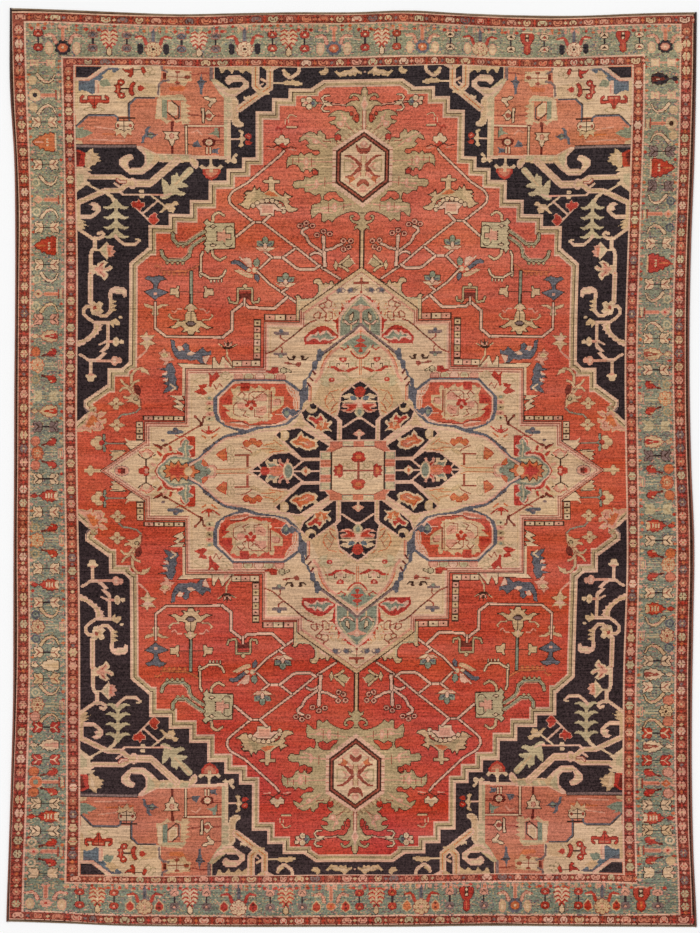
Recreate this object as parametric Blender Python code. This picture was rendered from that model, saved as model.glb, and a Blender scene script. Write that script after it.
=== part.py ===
"""A hand-knotted room-size rug lying flat: the knotted slab, its two overcast selvedges and its two flat-woven
end webs. Metres, +Z up, origin on the floor at the middle of the rug's outline, +Y towards the end that was
woven last."""

import bpy
from mathutils import Vector

# Overall size of the rug's outline, at its widest and longest
RUG_WIDTH = 2.833
RUG_LENGTH = 3.770

# Thickness of each piece
PILE_THICKNESS = 0.008
WEB_THICKNESS = 0.003

# Widths taken from the outline by the edge finishes
SELVEDGE_THICKNESS = 0.008
WEB_WIDTH = 0.007

# Clearance between neighbouring pieces
SEAM_GAP = 0.0003

# Rounding of the clipped pile at its rim, and of the web's folded edge
PILE_ROUNDING = 0.0022
WEB_ROUNDING = 0.0008

# How far the loom's tension drew each edge in from the full outline, at thirteen places equally spaced along it.
# Sides are listed from the -Y end to the +Y end, ends from -X to +X.
EDGE_PULL_MM = {
    "left": (0, 10, 20, 28, 29, 30, 32, 33, 36, 37, 33, 15, 15),
    "right": (0, 14, 20, 19, 14, 10, 22, 29, 29, 22, 10, 3, 0),
    "bottom": (22, 15, 5, 2, 0, 0, 1, 1, 4, 4, 2, 1, 0),
    "top": (0, 7, 17, 25, 21, 17, 17, 10, 22, 30, 31, 22, 17),
}

# Points along a long side and along an end
SIDE_STEPS = 56
END_STEPS = 42

# Dyed wool and undyed cotton, as linear colours
WOOL_MADDER = (0.33, 0.055, 0.03, 1.0)
WOOL_WALNUT = (0.045, 0.02, 0.015, 1.0)
COTTON_NATURAL = (0.42, 0.34, 0.22, 1.0)


def pull_at(side, share):
    """How far this edge is drawn in, in metres, at a share from 0 to 1 of its length: a smooth curve through the
    table's values."""
    values = EDGE_PULL_MM[side]
    last = len(values) - 1
    place = min(max(share, 0.0), 1.0) * last
    cell = min(int(place), last - 1)
    t = place - cell
    before, start, end, after = (values[min(max(cell + k, 0), last)] for k in (-1, 0, 1, 2))
    slope_in = (end - before) / 2
    slope_out = (after - start) / 2
    rise = end - start
    value = start + t * (slope_in + t * (3 * rise - 2 * slope_in - slope_out + t * (slope_in + slope_out - 2 * rise)))
    return value / 1000


def left_x(y):
    return -RUG_WIDTH / 2 + pull_at("left", 0.5 + y / RUG_LENGTH)


def right_x(y):
    return RUG_WIDTH / 2 - pull_at("right", 0.5 + y / RUG_LENGTH)


def bottom_y(x):
    return -RUG_LENGTH / 2 + pull_at("bottom", 0.5 + x / RUG_WIDTH)


def top_y(x):
    return RUG_LENGTH / 2 - pull_at("top", 0.5 + x / RUG_WIDTH)


def spaced(start, end, steps):
    return [start + (end - start) * k / steps for k in range(steps + 1)]


def side_route(edge_x, inset):
    """Points up a long side, this far inside the outline; inset is positive towards +X."""
    low = bottom_y(edge_x(-RUG_LENGTH / 2))
    high = top_y(edge_x(RUG_LENGTH / 2))
    return [(edge_x(y) + inset, y) for y in spaced(low, high, SIDE_STEPS)]


def end_route(edge_y, inset, side_inset):
    """Points along an end from -X to +X, this far inside the outline and this far in from the two sides; inset is
    positive towards +Y."""
    start = left_x(edge_y(-RUG_WIDTH / 2) + inset) + side_inset
    end = right_x(edge_y(RUG_WIDTH / 2) + inset) - side_inset
    return [(x, edge_y(x) + inset) for x in spaced(start, end, END_STEPS)]


def wool(name, colour, roughness):
    material = bpy.data.materials.new(name)
    material.use_nodes = True
    shader = material.node_tree.nodes["Principled BSDF"]
    shader.inputs["Base Color"].default_value = colour
    shader.inputs["Roughness"].default_value = roughness
    shader.inputs["Metallic"].default_value = 0.0
    return material


def add_curve(name, points, closed, material, collection):
    curve = bpy.data.curves.new(name, "CURVE")
    spline = curve.splines.new("POLY")
    spline.points.add(len(points) - 1)
    for point, place in zip(spline.points, points):
        point.co = (*place, 1.0)
    spline.use_cyclic_u = closed
    curve.materials.append(material)
    obj = bpy.data.objects.new(name, curve)
    collection.objects.link(obj)
    return obj


def add_flat(name, outline, thickness, rounding, material, collection):
    """A flat piece on the floor with this outline, its rims rounded."""
    obj = add_curve(name, [(x, y, 0.0) for x, y in outline], True, material, collection)
    curve = obj.data
    curve.dimensions = "2D"
    curve.fill_mode = "BOTH"
    curve.extrude = thickness / 2 - rounding
    curve.bevel_depth = rounding
    curve.bevel_resolution = 1
    curve.offset = -rounding
    obj.location = Vector((0.0, 0.0, thickness / 2))
    return obj


def make_pile(material, collection):
    """The knotted slab, from selvedge to selvedge and from web to web."""
    side_inset = SELVEDGE_THICKNESS + SEAM_GAP
    end_inset = WEB_WIDTH + SEAM_GAP
    bottom = end_route(bottom_y, end_inset, side_inset)
    top = end_route(top_y, -end_inset, side_inset)
    low, high = bottom[0][1], top[0][1]
    left = [p for p in side_route(left_x, side_inset) if low + WEB_WIDTH < p[1] < high - WEB_WIDTH]
    low, high = bottom[-1][1], top[-1][1]
    right = [p for p in side_route(right_x, -side_inset) if low + WEB_WIDTH < p[1] < high - WEB_WIDTH]
    outline = bottom + right + top[::-1] + left[::-1]
    add_flat("knotted_pile", outline, PILE_THICKNESS, PILE_ROUNDING, material, collection)


def make_web(name, edge_y, inward, material, collection):
    """The flat-woven strip beyond the last knots of one end."""
    side_inset = SELVEDGE_THICKNESS + SEAM_GAP
    outer = end_route(edge_y, 0.0, side_inset)
    inner = end_route(edge_y, inward * WEB_WIDTH, side_inset)
    outline = outer + inner[::-1]
    if inward < 0:
        outline.reverse()
    add_flat(name, outline, WEB_THICKNESS, WEB_ROUNDING, material, collection)


def make_selvedge(name, edge_x, inward, material, collection):
    """The overcast selvedge along one long side, from one end of the rug to the other."""
    radius = SELVEDGE_THICKNESS / 2
    route = [(x, y, radius) for x, y in side_route(edge_x, inward * radius)]
    obj = add_curve(name, route, False, material, collection)
    curve = obj.data
    curve.dimensions = "3D"
    curve.bevel_depth = radius
    curve.bevel_resolution = 2
    curve.use_fill_caps = True
    return obj


def main():
    for obj in list(bpy.data.objects):
        bpy.data.objects.remove(obj)
    rug = bpy.data.collections.new("persian_rug")
    bpy.context.scene.collection.children.link(rug)

    madder = wool("wool_pile", WOOL_MADDER, 0.95)
    walnut = wool("wool_overcast", WOOL_WALNUT, 0.9)
    cotton = wool("cotton_web", COTTON_NATURAL, 0.9)

    make_pile(madder, rug)
    make_web("end_web_bottom", bottom_y, 1, cotton, rug)
    make_web("end_web_top", top_y, -1, cotton, rug)
    make_selvedge("selvedge_left", left_x, 1, walnut, rug)
    make_selvedge("selvedge_right", right_x, -1, walnut, rug)


main()
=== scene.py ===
"""Looks of a room-size hand-knotted wool rug that lies on the floor and is seen from straight above. A weaver's
cartoon is drawn knot by knot, laid on the rug along the lines that its loom left, and knotted as runs of dyed
yarn. Metres, +Z up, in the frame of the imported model."""

import math
import random

import bpy
import numpy as np
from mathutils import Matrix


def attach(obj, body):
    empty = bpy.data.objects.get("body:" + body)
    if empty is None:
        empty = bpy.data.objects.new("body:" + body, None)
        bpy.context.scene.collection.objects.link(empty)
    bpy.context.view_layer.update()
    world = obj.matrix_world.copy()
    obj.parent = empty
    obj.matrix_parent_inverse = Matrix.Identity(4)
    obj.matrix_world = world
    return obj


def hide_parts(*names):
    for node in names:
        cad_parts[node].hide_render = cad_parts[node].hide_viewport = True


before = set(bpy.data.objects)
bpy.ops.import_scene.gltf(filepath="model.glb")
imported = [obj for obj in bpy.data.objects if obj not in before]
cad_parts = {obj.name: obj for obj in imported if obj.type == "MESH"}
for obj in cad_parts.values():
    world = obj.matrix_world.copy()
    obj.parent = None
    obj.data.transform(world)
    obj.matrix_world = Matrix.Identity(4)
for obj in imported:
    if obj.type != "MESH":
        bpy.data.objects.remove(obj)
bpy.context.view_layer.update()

bl_info = {
    "name": "Hand-knotted Rug",
    "version": (1, 0, 0),
    "blender": (4, 5, 0),
    "location": "3D View > Sidebar > Rug",
    "description": "Knots a wool rug from its cartoon, with its foundation, selvedges, end webs and studio",
    "category": "Add Mesh",
}


def hex_rgb(code):
    """An sRGB hex colour as linear red, green and blue."""
    shares = [int(code[k:k + 2], 16) / 255 for k in (0, 2, 4)]
    return tuple(s / 12.92 if s <= 0.04045 else ((s + 0.055) / 1.055) ** 2.4 for s in shares)


# ---- Sizes of the rug, in metres

RUG_WIDTH = 2.833
RUG_LENGTH = 3.770
SELVEDGE = 0.008
WEB_WIDTH = 0.007
# between the pile and the selvedges and webs beside it
GAP = 0.0003
# the woven back lies this high, clear of the floor
BACK_HEIGHT = 0.0003

# How far the loom's tension drew each edge in from the full outline, in mm at equally spaced places: the sides
# from the -Y end to the +Y end, the ends from -X to +X
EDGE_PULL_MM = {
    "left": (0, 10, 20, 28, 29, 30, 32, 33, 36, 37, 33, 15, 15),
    "right": (0, 14, 20, 19, 14, 10, 22, 29, 29, 22, 10, 3, 0),
    "bottom": (22, 15, 5, 2, 0, 0, 1, 1, 4, 4, 2, 1, 0),
    "top": (0, 7, 17, 25, 21, 17, 17, 10, 22, 30, 31, 22, 17),
}

# One square of the cartoon, its place in the rug's frame, and its middle lines
SQUARE = 0.0041
CARTOON_ORIGIN = (-351.45 * SQUARE, 467.5 * SQUARE)
AXIS = 360.0
MIDDLE = 471.0

# The cartoon's straight lines as they were woven: each line's place in squares, and its wander in mm towards +X
# or +Y, from its -Y or -X end
LINES_ALONG = {
    18.3: (-38, -34, -26, -18, -10, -4, -2, -4, -4, -2, -1, 0, 1, 3, 5, -3, -14, -21, -26),
    29.5: (-29, -25, -17, -11, -4, 0, 0, -2, -3, 0, 0, 1, 3, 5, 5, -1, -9, -16, -20),
    64.5: (3, 3, 8, 9, 8, 8, 7, 6, 4, 0, -2, -1, 1, 2, 2, -1, -6, -11, -11),
    77: (10, 10, 12, 12, 12, 12, 11, 8, 4, 1, -1, 0, 2, 2, -1, -4, -9, -9, -9),
    360: (-21, -21, -20, -18, -16, -14, -12, -10, -8, -6, -2, 2, 4, 7, 10, 15, 18, 21, 21),
    643: (-80, -80, -83, -83, -82, -80, -73, -66, -66, -70, -73, -74, -71, -64, -57, -51, -45, -43, -43),
    655.5: (-78, -78, -83, -85, -82, -79, -73, -69, -69, -72, -75, -76, -73, -67, -61, -53, -47, -45, -45),
    690.5: (-45, -50, -58, -63, -64, -62, -59, -55, -56, -63, -68, -72, -71, -65, -57, -49, -44, -42, -41),
    701.7: (-40, -46, -55, -57, -58, -59, -55, -51, -53, -61, -67, -68, -68, -65, -58, -50, -43, -38, -36),
}
LINES_ACROSS = {
    14.2: (9, 7, -2, -6, -7, -1, 1, 0, 7, -2, -12, -18, -13, -5, -2),
    24: (10, 8, 0, -6, -9, 0, 1, 2, 7, -2, -12, -16, -8, -2, -1),
    58: (2, 2, 1, 0, -3, 0, -2, 2, 8, 9, 0, -2, 6, 11, 11),
    67.3: (7, 7, 5, 5, -1, 2, -2, 1, 5, 9, 1, -3, 2, 7, 7),
    874.7: (-1, -1, -2, -5, -2, -1, 1, 3, 2, 4, 7, 6, 7, 3, 3),
    884: (4, 4, 1, -1, -1, -1, 0, 0, 3, 7, 9, 8, 7, 0, 0),
    915.8: (20, 14, 3, 0, -2, -5, -4, -2, 1, 2, 3, 3, 2, 3, 5),
    924.7: (22, 17, 3, 0, -1, -2, -2, -1, 1, 3, 6, 2, 2, 1, 0),
}

# Dyed yarns of the pile: what each is, and its colour at the -Y end, in the middle and at the +Y end of the
# rug, because a dye lot's shade drifts as the weaving goes on
YARNS = {
    "red": ("madder red", "b43f33", "b54c35", "c4664e"),
    "navy": ("indigo navy", "392b2c", "2c2022", "31292b"),
    "ivory": ("undyed ivory", "cba786", "cba784", "cfac89"),
    "camel": ("camel", "bd9772", "c09b74", "c6a37c"),
    "peach": ("pale peach", "d2a088", "cea086", "cea589"),
    "salmon": ("salmon", "b56a52", "bb6b51", "c07456"),
    "brick": ("brick red", "8b4031", "914635", "954c3a"),
    "teal": ("blue-green", "777a67", "7e7c69", "8a866a"),
    "slate": ("slate blue", "5b5558", "5c575b", "625f62"),
    "blue": ("faded blue", "5f6468", "5f6468", "5f6468"),
    "sage": ("sage green", "ad9775", "b69f7b", "bca580"),
    "umber": ("walnut brown", "40251b", "42271c", "42271c"),
    "crimson": ("cochineal crimson", "a83a2c", "a83a2c", "a83e2d"),
    "rose": ("faded rose", "c78a72", "c78a72", "c98c72"),
    "mauve": ("brown mauve", "785f59", "785f59", "7c645c"),
    "olive": ("olive", "a38a66", "a98d68", "ab8f69"),
    "orange": ("madder orange", "ba643e", "ba643e", "bc663f"),
    "wine": ("dark wine", "66291f", "66291f", "66291f"),
}
CODE = {name: k for k, name in enumerate(YARNS)}

# Squares of the cartoon that one knot covers: 3.4 mm wide and high, as on a medium-coarse rug
KNOT = 0.84


# ---- The cartoon and its drawing tools


def dots(points):
    """A list of points, which may be written as text: "x,y x,y"."""
    if isinstance(points, str):
        return [tuple(float(v) for v in pair.split(",")) for pair in points.split()]
    return points


class Chart:
    """A weaver's cartoon: one yarn for each knot of a rectangle of the rug."""

    def __init__(self, left, top, right, bottom, ground):
        self.left = left
        self.top = top
        self.columns = round((right - left) / KNOT)
        self.rows = round((bottom - top) / KNOT)
        self.pitch_x = (right - left) / self.columns
        self.pitch_y = (bottom - top) / self.rows
        self.knots = np.full((self.rows, self.columns), CODE[ground], dtype=np.uint8)

    def window(self, points, margin):
        """The knots around these points: their slice, and the places of their middles."""
        xs = [p[0] for p in points]
        ys = [p[1] for p in points]
        c0 = max(int((min(xs) - margin - self.left) / self.pitch_x), 0)
        c1 = min(int((max(xs) + margin - self.left) / self.pitch_x) + 2, self.columns)
        r0 = max(int((min(ys) - margin - self.top) / self.pitch_y), 0)
        r1 = min(int((max(ys) + margin - self.top) / self.pitch_y) + 2, self.rows)
        x = self.left + (np.arange(c0, max(c1, c0)) + 0.5) * self.pitch_x
        y = self.top + (np.arange(r0, max(r1, r0)) + 0.5) * self.pitch_y
        return (slice(r0, max(r1, r0)), slice(c0, max(c1, c0))), x[None, :], y[:, None]

    def area(self, yarn, points, edge=None, edge_width=1.0):
        """Knot the inside of an outline, with its own outline drawn over the rim."""
        points = dots(points)
        where, x, y = self.window(points, 0)
        mask = np.zeros((y.shape[0], x.shape[1]), dtype=bool)
        for (x0, y0), (x1, y1) in zip(points, points[1:] + points[:1]):
            if y0 != y1:
                crossing = (y0 > y) != (y1 > y)
                mask ^= crossing & (x < (x1 - x0) * (y - y0) / (y1 - y0) + x0)
        self.knots[where][mask] = CODE[yarn]
        if edge:
            self.line(edge, points + points[:1], edge_width)

    def line(self, yarn, points, width=2.0, end_width=None, edge=None, edge_width=1.0):
        """Knot a line through these points, even or tapering, with an outline beside it."""
        points = dots(points)
        if edge:
            far = None if end_width is None else end_width + 2 * edge_width
            self.line(edge, points, width + 2 * edge_width, far)
        last = width if end_width is None else end_width
        steps = len(points) - 1
        for k in range(steps):
            (x0, y0), (x1, y1) = points[k], points[k + 1]
            w0 = width + (last - width) * k / steps
            w1 = width + (last - width) * (k + 1) / steps
            where, x, y = self.window([points[k], points[k + 1]], max(w0, w1))
            length2 = max((x1 - x0) ** 2 + (y1 - y0) ** 2, 1e-9)
            t = np.clip(((x - x0) * (x1 - x0) + (y - y0) * (y1 - y0)) / length2, 0, 1)
            gap = np.hypot(x - x0 - t * (x1 - x0), y - y0 - t * (y1 - y0))
            self.knots[where][gap <= (w0 + (w1 - w0) * t) / 2] = CODE[yarn]

    def oval(self, yarn, x0, y0, rx, ry=None, edge=None, edge_width=1.0):
        ry = rx if ry is None else ry
        if edge:
            self.oval(edge, x0, y0, rx + edge_width, ry + edge_width)
        where, x, y = self.window([(x0 - rx, y0 - ry), (x0 + rx, y0 + ry)], 0)
        self.knots[where][((x - x0) / rx) ** 2 + ((y - y0) / ry) ** 2 <= 1] = CODE[yarn]

    def box(self, yarn, x0, y0, x1, y1):
        self.area(yarn, [(x0, y0), (x1, y0), (x1, y1), (x0, y1)])


def placed(points, x, y, turn=0.0, size=1.0, flip=False):
    """A motif's own points, turned by degrees, sized, and moved to their place on the cartoon."""
    c, s = math.cos(math.radians(turn)), math.sin(math.radians(turn))
    out = []
    for px, py in dots(points):
        px = -px if flip else px
        out.append((x + size * (c * px - s * py), y + size * (s * px + c * py)))
    return out


def inside(chart, points):
    """Which knots of the chart lie inside this outline."""
    probe = Chart(chart.left, chart.top, chart.left + chart.columns * chart.pitch_x,
                  chart.top + chart.rows * chart.pitch_y, "red")
    probe.area("navy", points)
    return probe.knots == CODE["navy"]


def rim(chart, points, bands):
    """Lay bands of yarn along the inner side of an outline, each to its own depth, deepest first."""
    points = dots(points)
    mask = inside(chart, points)
    before = chart.knots.copy()
    for depth, yarn in bands:
        for (x0, y0), (x1, y1) in zip(points, points[1:]):
            if abs(x1 - x0) < 1 or abs(y1 - y0) < 1:
                low, high = (min(x0, x1), min(y0, y1)), (max(x0, x1), max(y0, y1))
                chart.box(yarn, low[0] - depth, low[1] - depth, high[0] + depth, high[1] + depth)
            else:
                chart.line(yarn, [(x0, y0), (x1, y1)], 2 * depth)
    chart.knots[~mask] = before[~mask]


# ---- The field, drawn as its upper left quarter. A, L, O and B are the cartoon's area, line, oval and box

# The outer medallion's contour in this quarter
MEDALLION = ("372,259 360,267 298,310 298,321.5 262.5,321.5 262.5,368 184.5,368 184.5,421.5 144.5,421.5 "
    "144.5,441 99,471 94,480 372,480")


def field_vines(c):
    """Angular vines and flowers of the red field round the medallion."""
    A, L, O = c.area, c.line, c.oval

    def vine(points, width=1.9):
        L("peach", points, width, None, "umber", 0.8)

    vine("247,219 252,222.7 261,222.7 280,237 299,251 319,267 338,279")
    vine("268,216 261,222.7", 2.4)
    vine("252,222.7 235,236.5", 2.2)
    vine("258,269 270,257.5 281,257.5 293,248.5")
    vine("263,252 270,257.5")
    vine("281,257.5 294,267.5 298,269.3 312,269.3 318,265.5", 2.3)
    vine("256,272 264,280 268,284 280,292 296,303")
    vine("280,292 286,288")
    vine("286,297 273,308.5 248,308 243,303 231,312 231,330 222,337", 2.5)
    # lilies of three blue-green petals over a pair of pale leaves
    for x, y in ((263.5, 243), (284, 278.5)):
        A("teal", [(x - 8.5, y - 2), (x - 4, y - 2), (x - 1.5, y + 1), (x + 1.5, y + 1), (x + 4, y - 2),
            (x + 9, y - 2), (x + 8, y + 3), (x + 4, y + 4.5), (x - 4, y + 4.5), (x - 8.5, y + 3.5)], "umber",
            0.7)
        O("teal", x, y - 2.2, 2.8, 3.6, "umber", 0.7)
        L("slate", [(x - 6, y + 1.5), (x - 3, y + 2.5)], 1.8)
        L("slate", [(x + 3, y + 2.5), (x + 6, y + 0.5)], 1.8)
        A("ivory", [(x - 12, y + 3.5), (x - 7, y + 5), (x - 3, y + 4), (x, y + 7), (x + 3, y + 4),
            (x + 8, y + 4.5), (x + 13, y + 3.5), (x + 8, y + 6.5), (x + 3, y + 9), (x, y + 8.5),
            (x - 5, y + 8.5), (x - 8, y + 6.5)], "brick", 0.7)
        A("rose", [(x - 8, y + 5), (x - 3, y + 5.5), (x - 1, y + 8), (x - 5, y + 8)])
        O("peach", x, y + 3.5, 1.8, 2.8, "umber", 0.5)
    # many-coloured lily
    A("slate", "229,262 233,260 238,261 243,265 247,268.5 245,271.5 240,268 235,264.5 230,264.5", "umber", 0.7)
    A("peach", "237,257 239,256.5 241,259 245,257.5 249,259 250.5,263 250,268 246,267 242,262 239,260",
        "brick", 0.6)
    L("rose", "242,260 248,266", 1.2)
    A("teal", "252,261 256,258 258.5,262 257,267 253.5,267 251.5,264", "umber", 0.7)
    A("camel", "232,270.5 238,269.5 245,272.5 252,275 251,278.5 246,278 240,275.5", "brick", 0.6)
    L("rose", "238,271 249,277", 1.2)
    A("slate", "252.5,274 256.5,275 258.5,279 256.5,282.5 253,279.5", "umber", 0.7)
    O("ivory", 247.5, 270.8, 2.2, 1.7, "brick", 0.5)
    O("ivory", 253, 270.3, 2.2, 2.5)
    O("teal", 255, 270.3, 0.9)
    # house flower on the vine
    L("olive", "227.5,298 229,302.5 235.5,303 236.5,301 236.5,289 250.5,289 250.5,301 252,303 257,302 "
        "257.5,299", 1.7, None, "umber", 0.8)
    A("wine", "238,291 249,291 249,300.5 246,300 244,298 241,298 239,300.5 238,300.5")
    L("crimson", "238.5,293 249,293", 2)
    O("camel", 243.5, 286.3, 2, 1.6, "umber", 0.7)
    L("peach", "243.3,305 243.3,299.5", 2.4, None, "umber", 0.6)
    # three-headed tree
    L("peach", "322,267 321.8,257 318,253.5 313,252.3 308.5,254.5", 2, None, "umber", 0.8)
    L("peach", "323,266 322.3,254 321.3,237", 3, None, "umber", 0.9)
    L("peach", "319.5,251.5 308,243.5 305.5,239.5 304.5,236.5 299.5,232.5 300.5,229.5 305,227.5", 2.3, None,
        "umber", 0.8)
    L("peach", "324,250 331,248.5 334,246.5 340,244", 2.3, None, "umber", 0.8)
    for x, y in ((298, 225.5), (304, 222.8), (310.3, 225.5), (314.8, 234.8), (321.3, 231.3), (327.5, 234),
            (341, 241), (348.5, 241.3), (346.3, 247.5), (341.3, 249.5)):
        O("rose", x, y, 2.7, 2.4, "umber", 0.8)
        O("wine", x, y, 1.5, 1.4)
    # lance and arrow buds
    A("camel", "333.5,260 336.3,265 334,271.5 331.3,266", "umber", 0.8)
    L("camel", "337.5,264 342,261 346.5,256.5", 1.8, 2.6, "umber", 0.7)
    L("camel", "337.5,266 342,268 346,271", 1.8, 2.2, "umber", 0.7)
    A("olive", "339.5,264.8 347,258 350.5,261.5 351,264.5 347.5,267.5 345,268", "umber", 0.6)
    L("ivory", "349,259 352.5,264.5", 1.1)
    # forked leaf under the hexagon and its thick stem to the medallion
    A("olive", "362,213 357.5,214 357.5,219.5 354,221.8 350,220.3 349,217.8 351.8,217.3 350.5,215.3 347.3,216 "
        "346.6,219 349.5,223 354,224.6 355.5,225.5 352,227 351.5,230.5 355,229 357.5,231.5 362,231.5",
        "umber", 0.8)
    A("umber", "357,231 362,231 362,269 357,269")
    A("camel", "358.5,231 362,231 362,269 358.5,269")
    # thin lily near the shoulder
    L("camel", "226,350 226.3,356 229.5,361 233,367", 1.6, None, "brick", 0.6)
    L("umber", "219.5,344.5 224,348 229,348 234,345.5", 2)
    L("camel", "218,343.8 221,346", 1)
    L("camel", "232,346.5 236,344.5", 1)
    A("rose", "223,341 226,343.5 227,340.5 228.5,343.5 231.5,341 230.5,346 227,347.5 224,346", "umber", 0.5)
    O("umber", 227, 344, 1.6, 2)
    # rose flower and blue animals by the shoulder
    A("rose", "157.5,353 161.5,351.3 163.5,347.5 165.3,351.5 169.5,352.5 170.5,357 174.5,359.8 168.3,361.5 "
        "167,365.5 162.5,365.3 164,361.3 158.5,359.3 160.5,356", "brick", 0.6)
    O("camel", 164, 355.3, 3.8, 2.3, "brick", 0.5)
    O("olive", 164, 355.3, 2, 1.1)
    A("slate", "169.8,339.5 174,341 174.8,347.5 178,350.5 184,350 181.3,345.8 184.5,342.5 188.3,344.8 "
        "188,348.8 191,351.5 195,352 199,349.3 202,346.8 204.3,350 206,351.8 210.5,350 210.5,354.5 205.5,355.5 "
        "201.3,356.3 203.3,359 204.5,363.5 199.5,363 196,359.3 190,360.5 186,359.3 178,359.3 173.8,355.3 "
        "171,349", "umber", 0.5)
    A("peach", "175.8,346.5 181.3,346 182.3,350 178.3,351.3")
    A("peach", "185.3,354.5 190,350.8 194.5,353 191,355.3")
    A("peach", "202,356.8 209.3,354.8 207.3,359.8 205.3,364 202.8,361", "brick", 0.4)
    A("slate", "157.3,369 165,368 167,364 171,362.5 173.3,367 175.3,371 174.3,375 176.5,379 175.3,384 "
        "178.5,386.5 177,390.3 172,389.3 168,392 162.5,393.3 165,389 168,386.3 162.5,383.3 168,381.3 168,378.3 "
        "159.8,377.3 164,375 167.8,372.3 165,370.8", "umber", 0.5)
    A("peach", "161,374.8 167.5,370.8 166,375.3")
    A("peach", "161.5,380.3 167.5,378 167,382.3")
    L("ivory", "170,384.3 175.5,388 170.8,391", 1.5)
    # camel wyvern and its twig
    A("wine", "133.5,384.5 139,386 141,390 140,396.5 136,394.3 134,390")
    L("camel", "146,371.5 142,369 136,369.5 131.3,375 131,386 133.3,394 137.5,397 139.6,402 140,409", 2.3,
        None, "brick", 0.7)
    A("camel", "139,367.8 143,367.8 147.3,370.3 150,376 146,373.8 141,372.8", "brick", 0.6)
    for points in ("120.5,380.5 124.5,385 131,388.5", "120,391.5 123,388.3 127,388.3 132,393.5",
            "138.5,380.8 133.3,383 131,387"):
        L("camel", points, 1.8, 2.4, "brick", 0.5)
    A("camel", "122.5,395.8 128,397 132,393.5 137,396.5 140.3,401 140,409 137,405 131,402.5 125.5,402.5 "
        "129,399.8 124,399.3", "brick", 0.6)
    O("olive", 135.8, 399.2, 1.7, None, "umber", 0.8)
    L("teal", "140,408.5 136,412.3 128,414.5 122,415 117.5,419.5", 1.2, None, "brick", 0.7)
    # four-petal stars
    for x, y in ((116, 404), (116.8, 425.5)):
        for s in (-1, 1):
            A("camel", [(x, y), (x + 4 * s, y - 2.4), (x + 9 * s, y), (x + 4 * s, y + 2.4)], "brick", 0.6)
            O("camel", x, y + 3.4 * s, 2.8, 2.6, "brick", 0.6)
        O("camel", x, y, 2.4)
        A("brick", [(x - 1.2, y), (x, y - 1.2), (x + 1.2, y), (x, y + 1.2)])
    # crown of leaves at the field's edge
    L("mauve", "85,403.5 85,409.5 90,413.5", 1.6)
    A("olive", "89,408 94,406.8 97,408.5 93,410.5 96,412.5 90,413", "brick", 0.4)
    A("rose", "84,424 87,419 88,414 92,411.3 96,415 101,412 106.3,413 102.3,417 98,418.3 101.3,421 106.3,419 "
        "106.3,423 101.5,424.3 103.8,428 99,431.5 94,431.3 91,427.5 90.5,433 86,430.5 80,432.3 76,431 80,427",
        "camel", 0.9)
    A("orange", "88,421 92,415 96,417.5 98,422 94,424 97,428 92,425.5 89,428 85,427")
    L("ivory", "94.3,422.5 95.3,427.5", 1)
    L("brick", "98,415 96,419.5 100,423.5 98.5,428", 0.8)
    # bud with a crimson heart
    for x, y, rx, ry in ((95, 443, 4.6, 3.9), (98.3, 438.8, 3.5, 2.6), (98.3, 447.8, 3.5, 2.5)):
        O("camel", x, y, rx, ry, "brick", 0.6)
    O("camel", 97, 443.3, 3.6, 3.2)
    O("crimson", 101.5, 443.2, 2.8, 2.6)
    A("teal", "102.3,434.5 105.3,434.3 105.5,439 104.3,441 108.8,443.5 104.3,445.8 105.8,448 105.5,452.3 "
        "103,452 102.3,446 105,443.3 102.8,440", "umber", 0.5)
    L("teal", "108,443.5 125,443.5", 1, None, "brick", 0.7)
    # knob at the medallion's point
    O("camel", 90, 470, 2.8, 4.3, "brick", 0.7)
    L("camel", "84,470 101,470", 1.4)


def squares(c, x0, y0, x1, y1, count, yarns):
    """A row or column of small squares with a dot in each."""
    c.box("umber", x0 - 0.8, y0 - 0.8, x1 + 0.8, y1 + 0.8)
    for k in range(count):
        a, b = k / count, (k + 1) / count
        if x1 - x0 > y1 - y0:
            box = (x0 + (x1 - x0) * a + 0.6, y0, x0 + (x1 - x0) * b - 0.6, y1)
        else:
            box = (x0, y0 + (y1 - y0) * a + 0.6, x1, y0 + (y1 - y0) * b - 0.6)
        c.box(yarns[k % len(yarns)], *box)
        c.oval("umber", (box[0] + box[2]) / 2, (box[1] + box[3]) / 2, 1.0)


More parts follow.
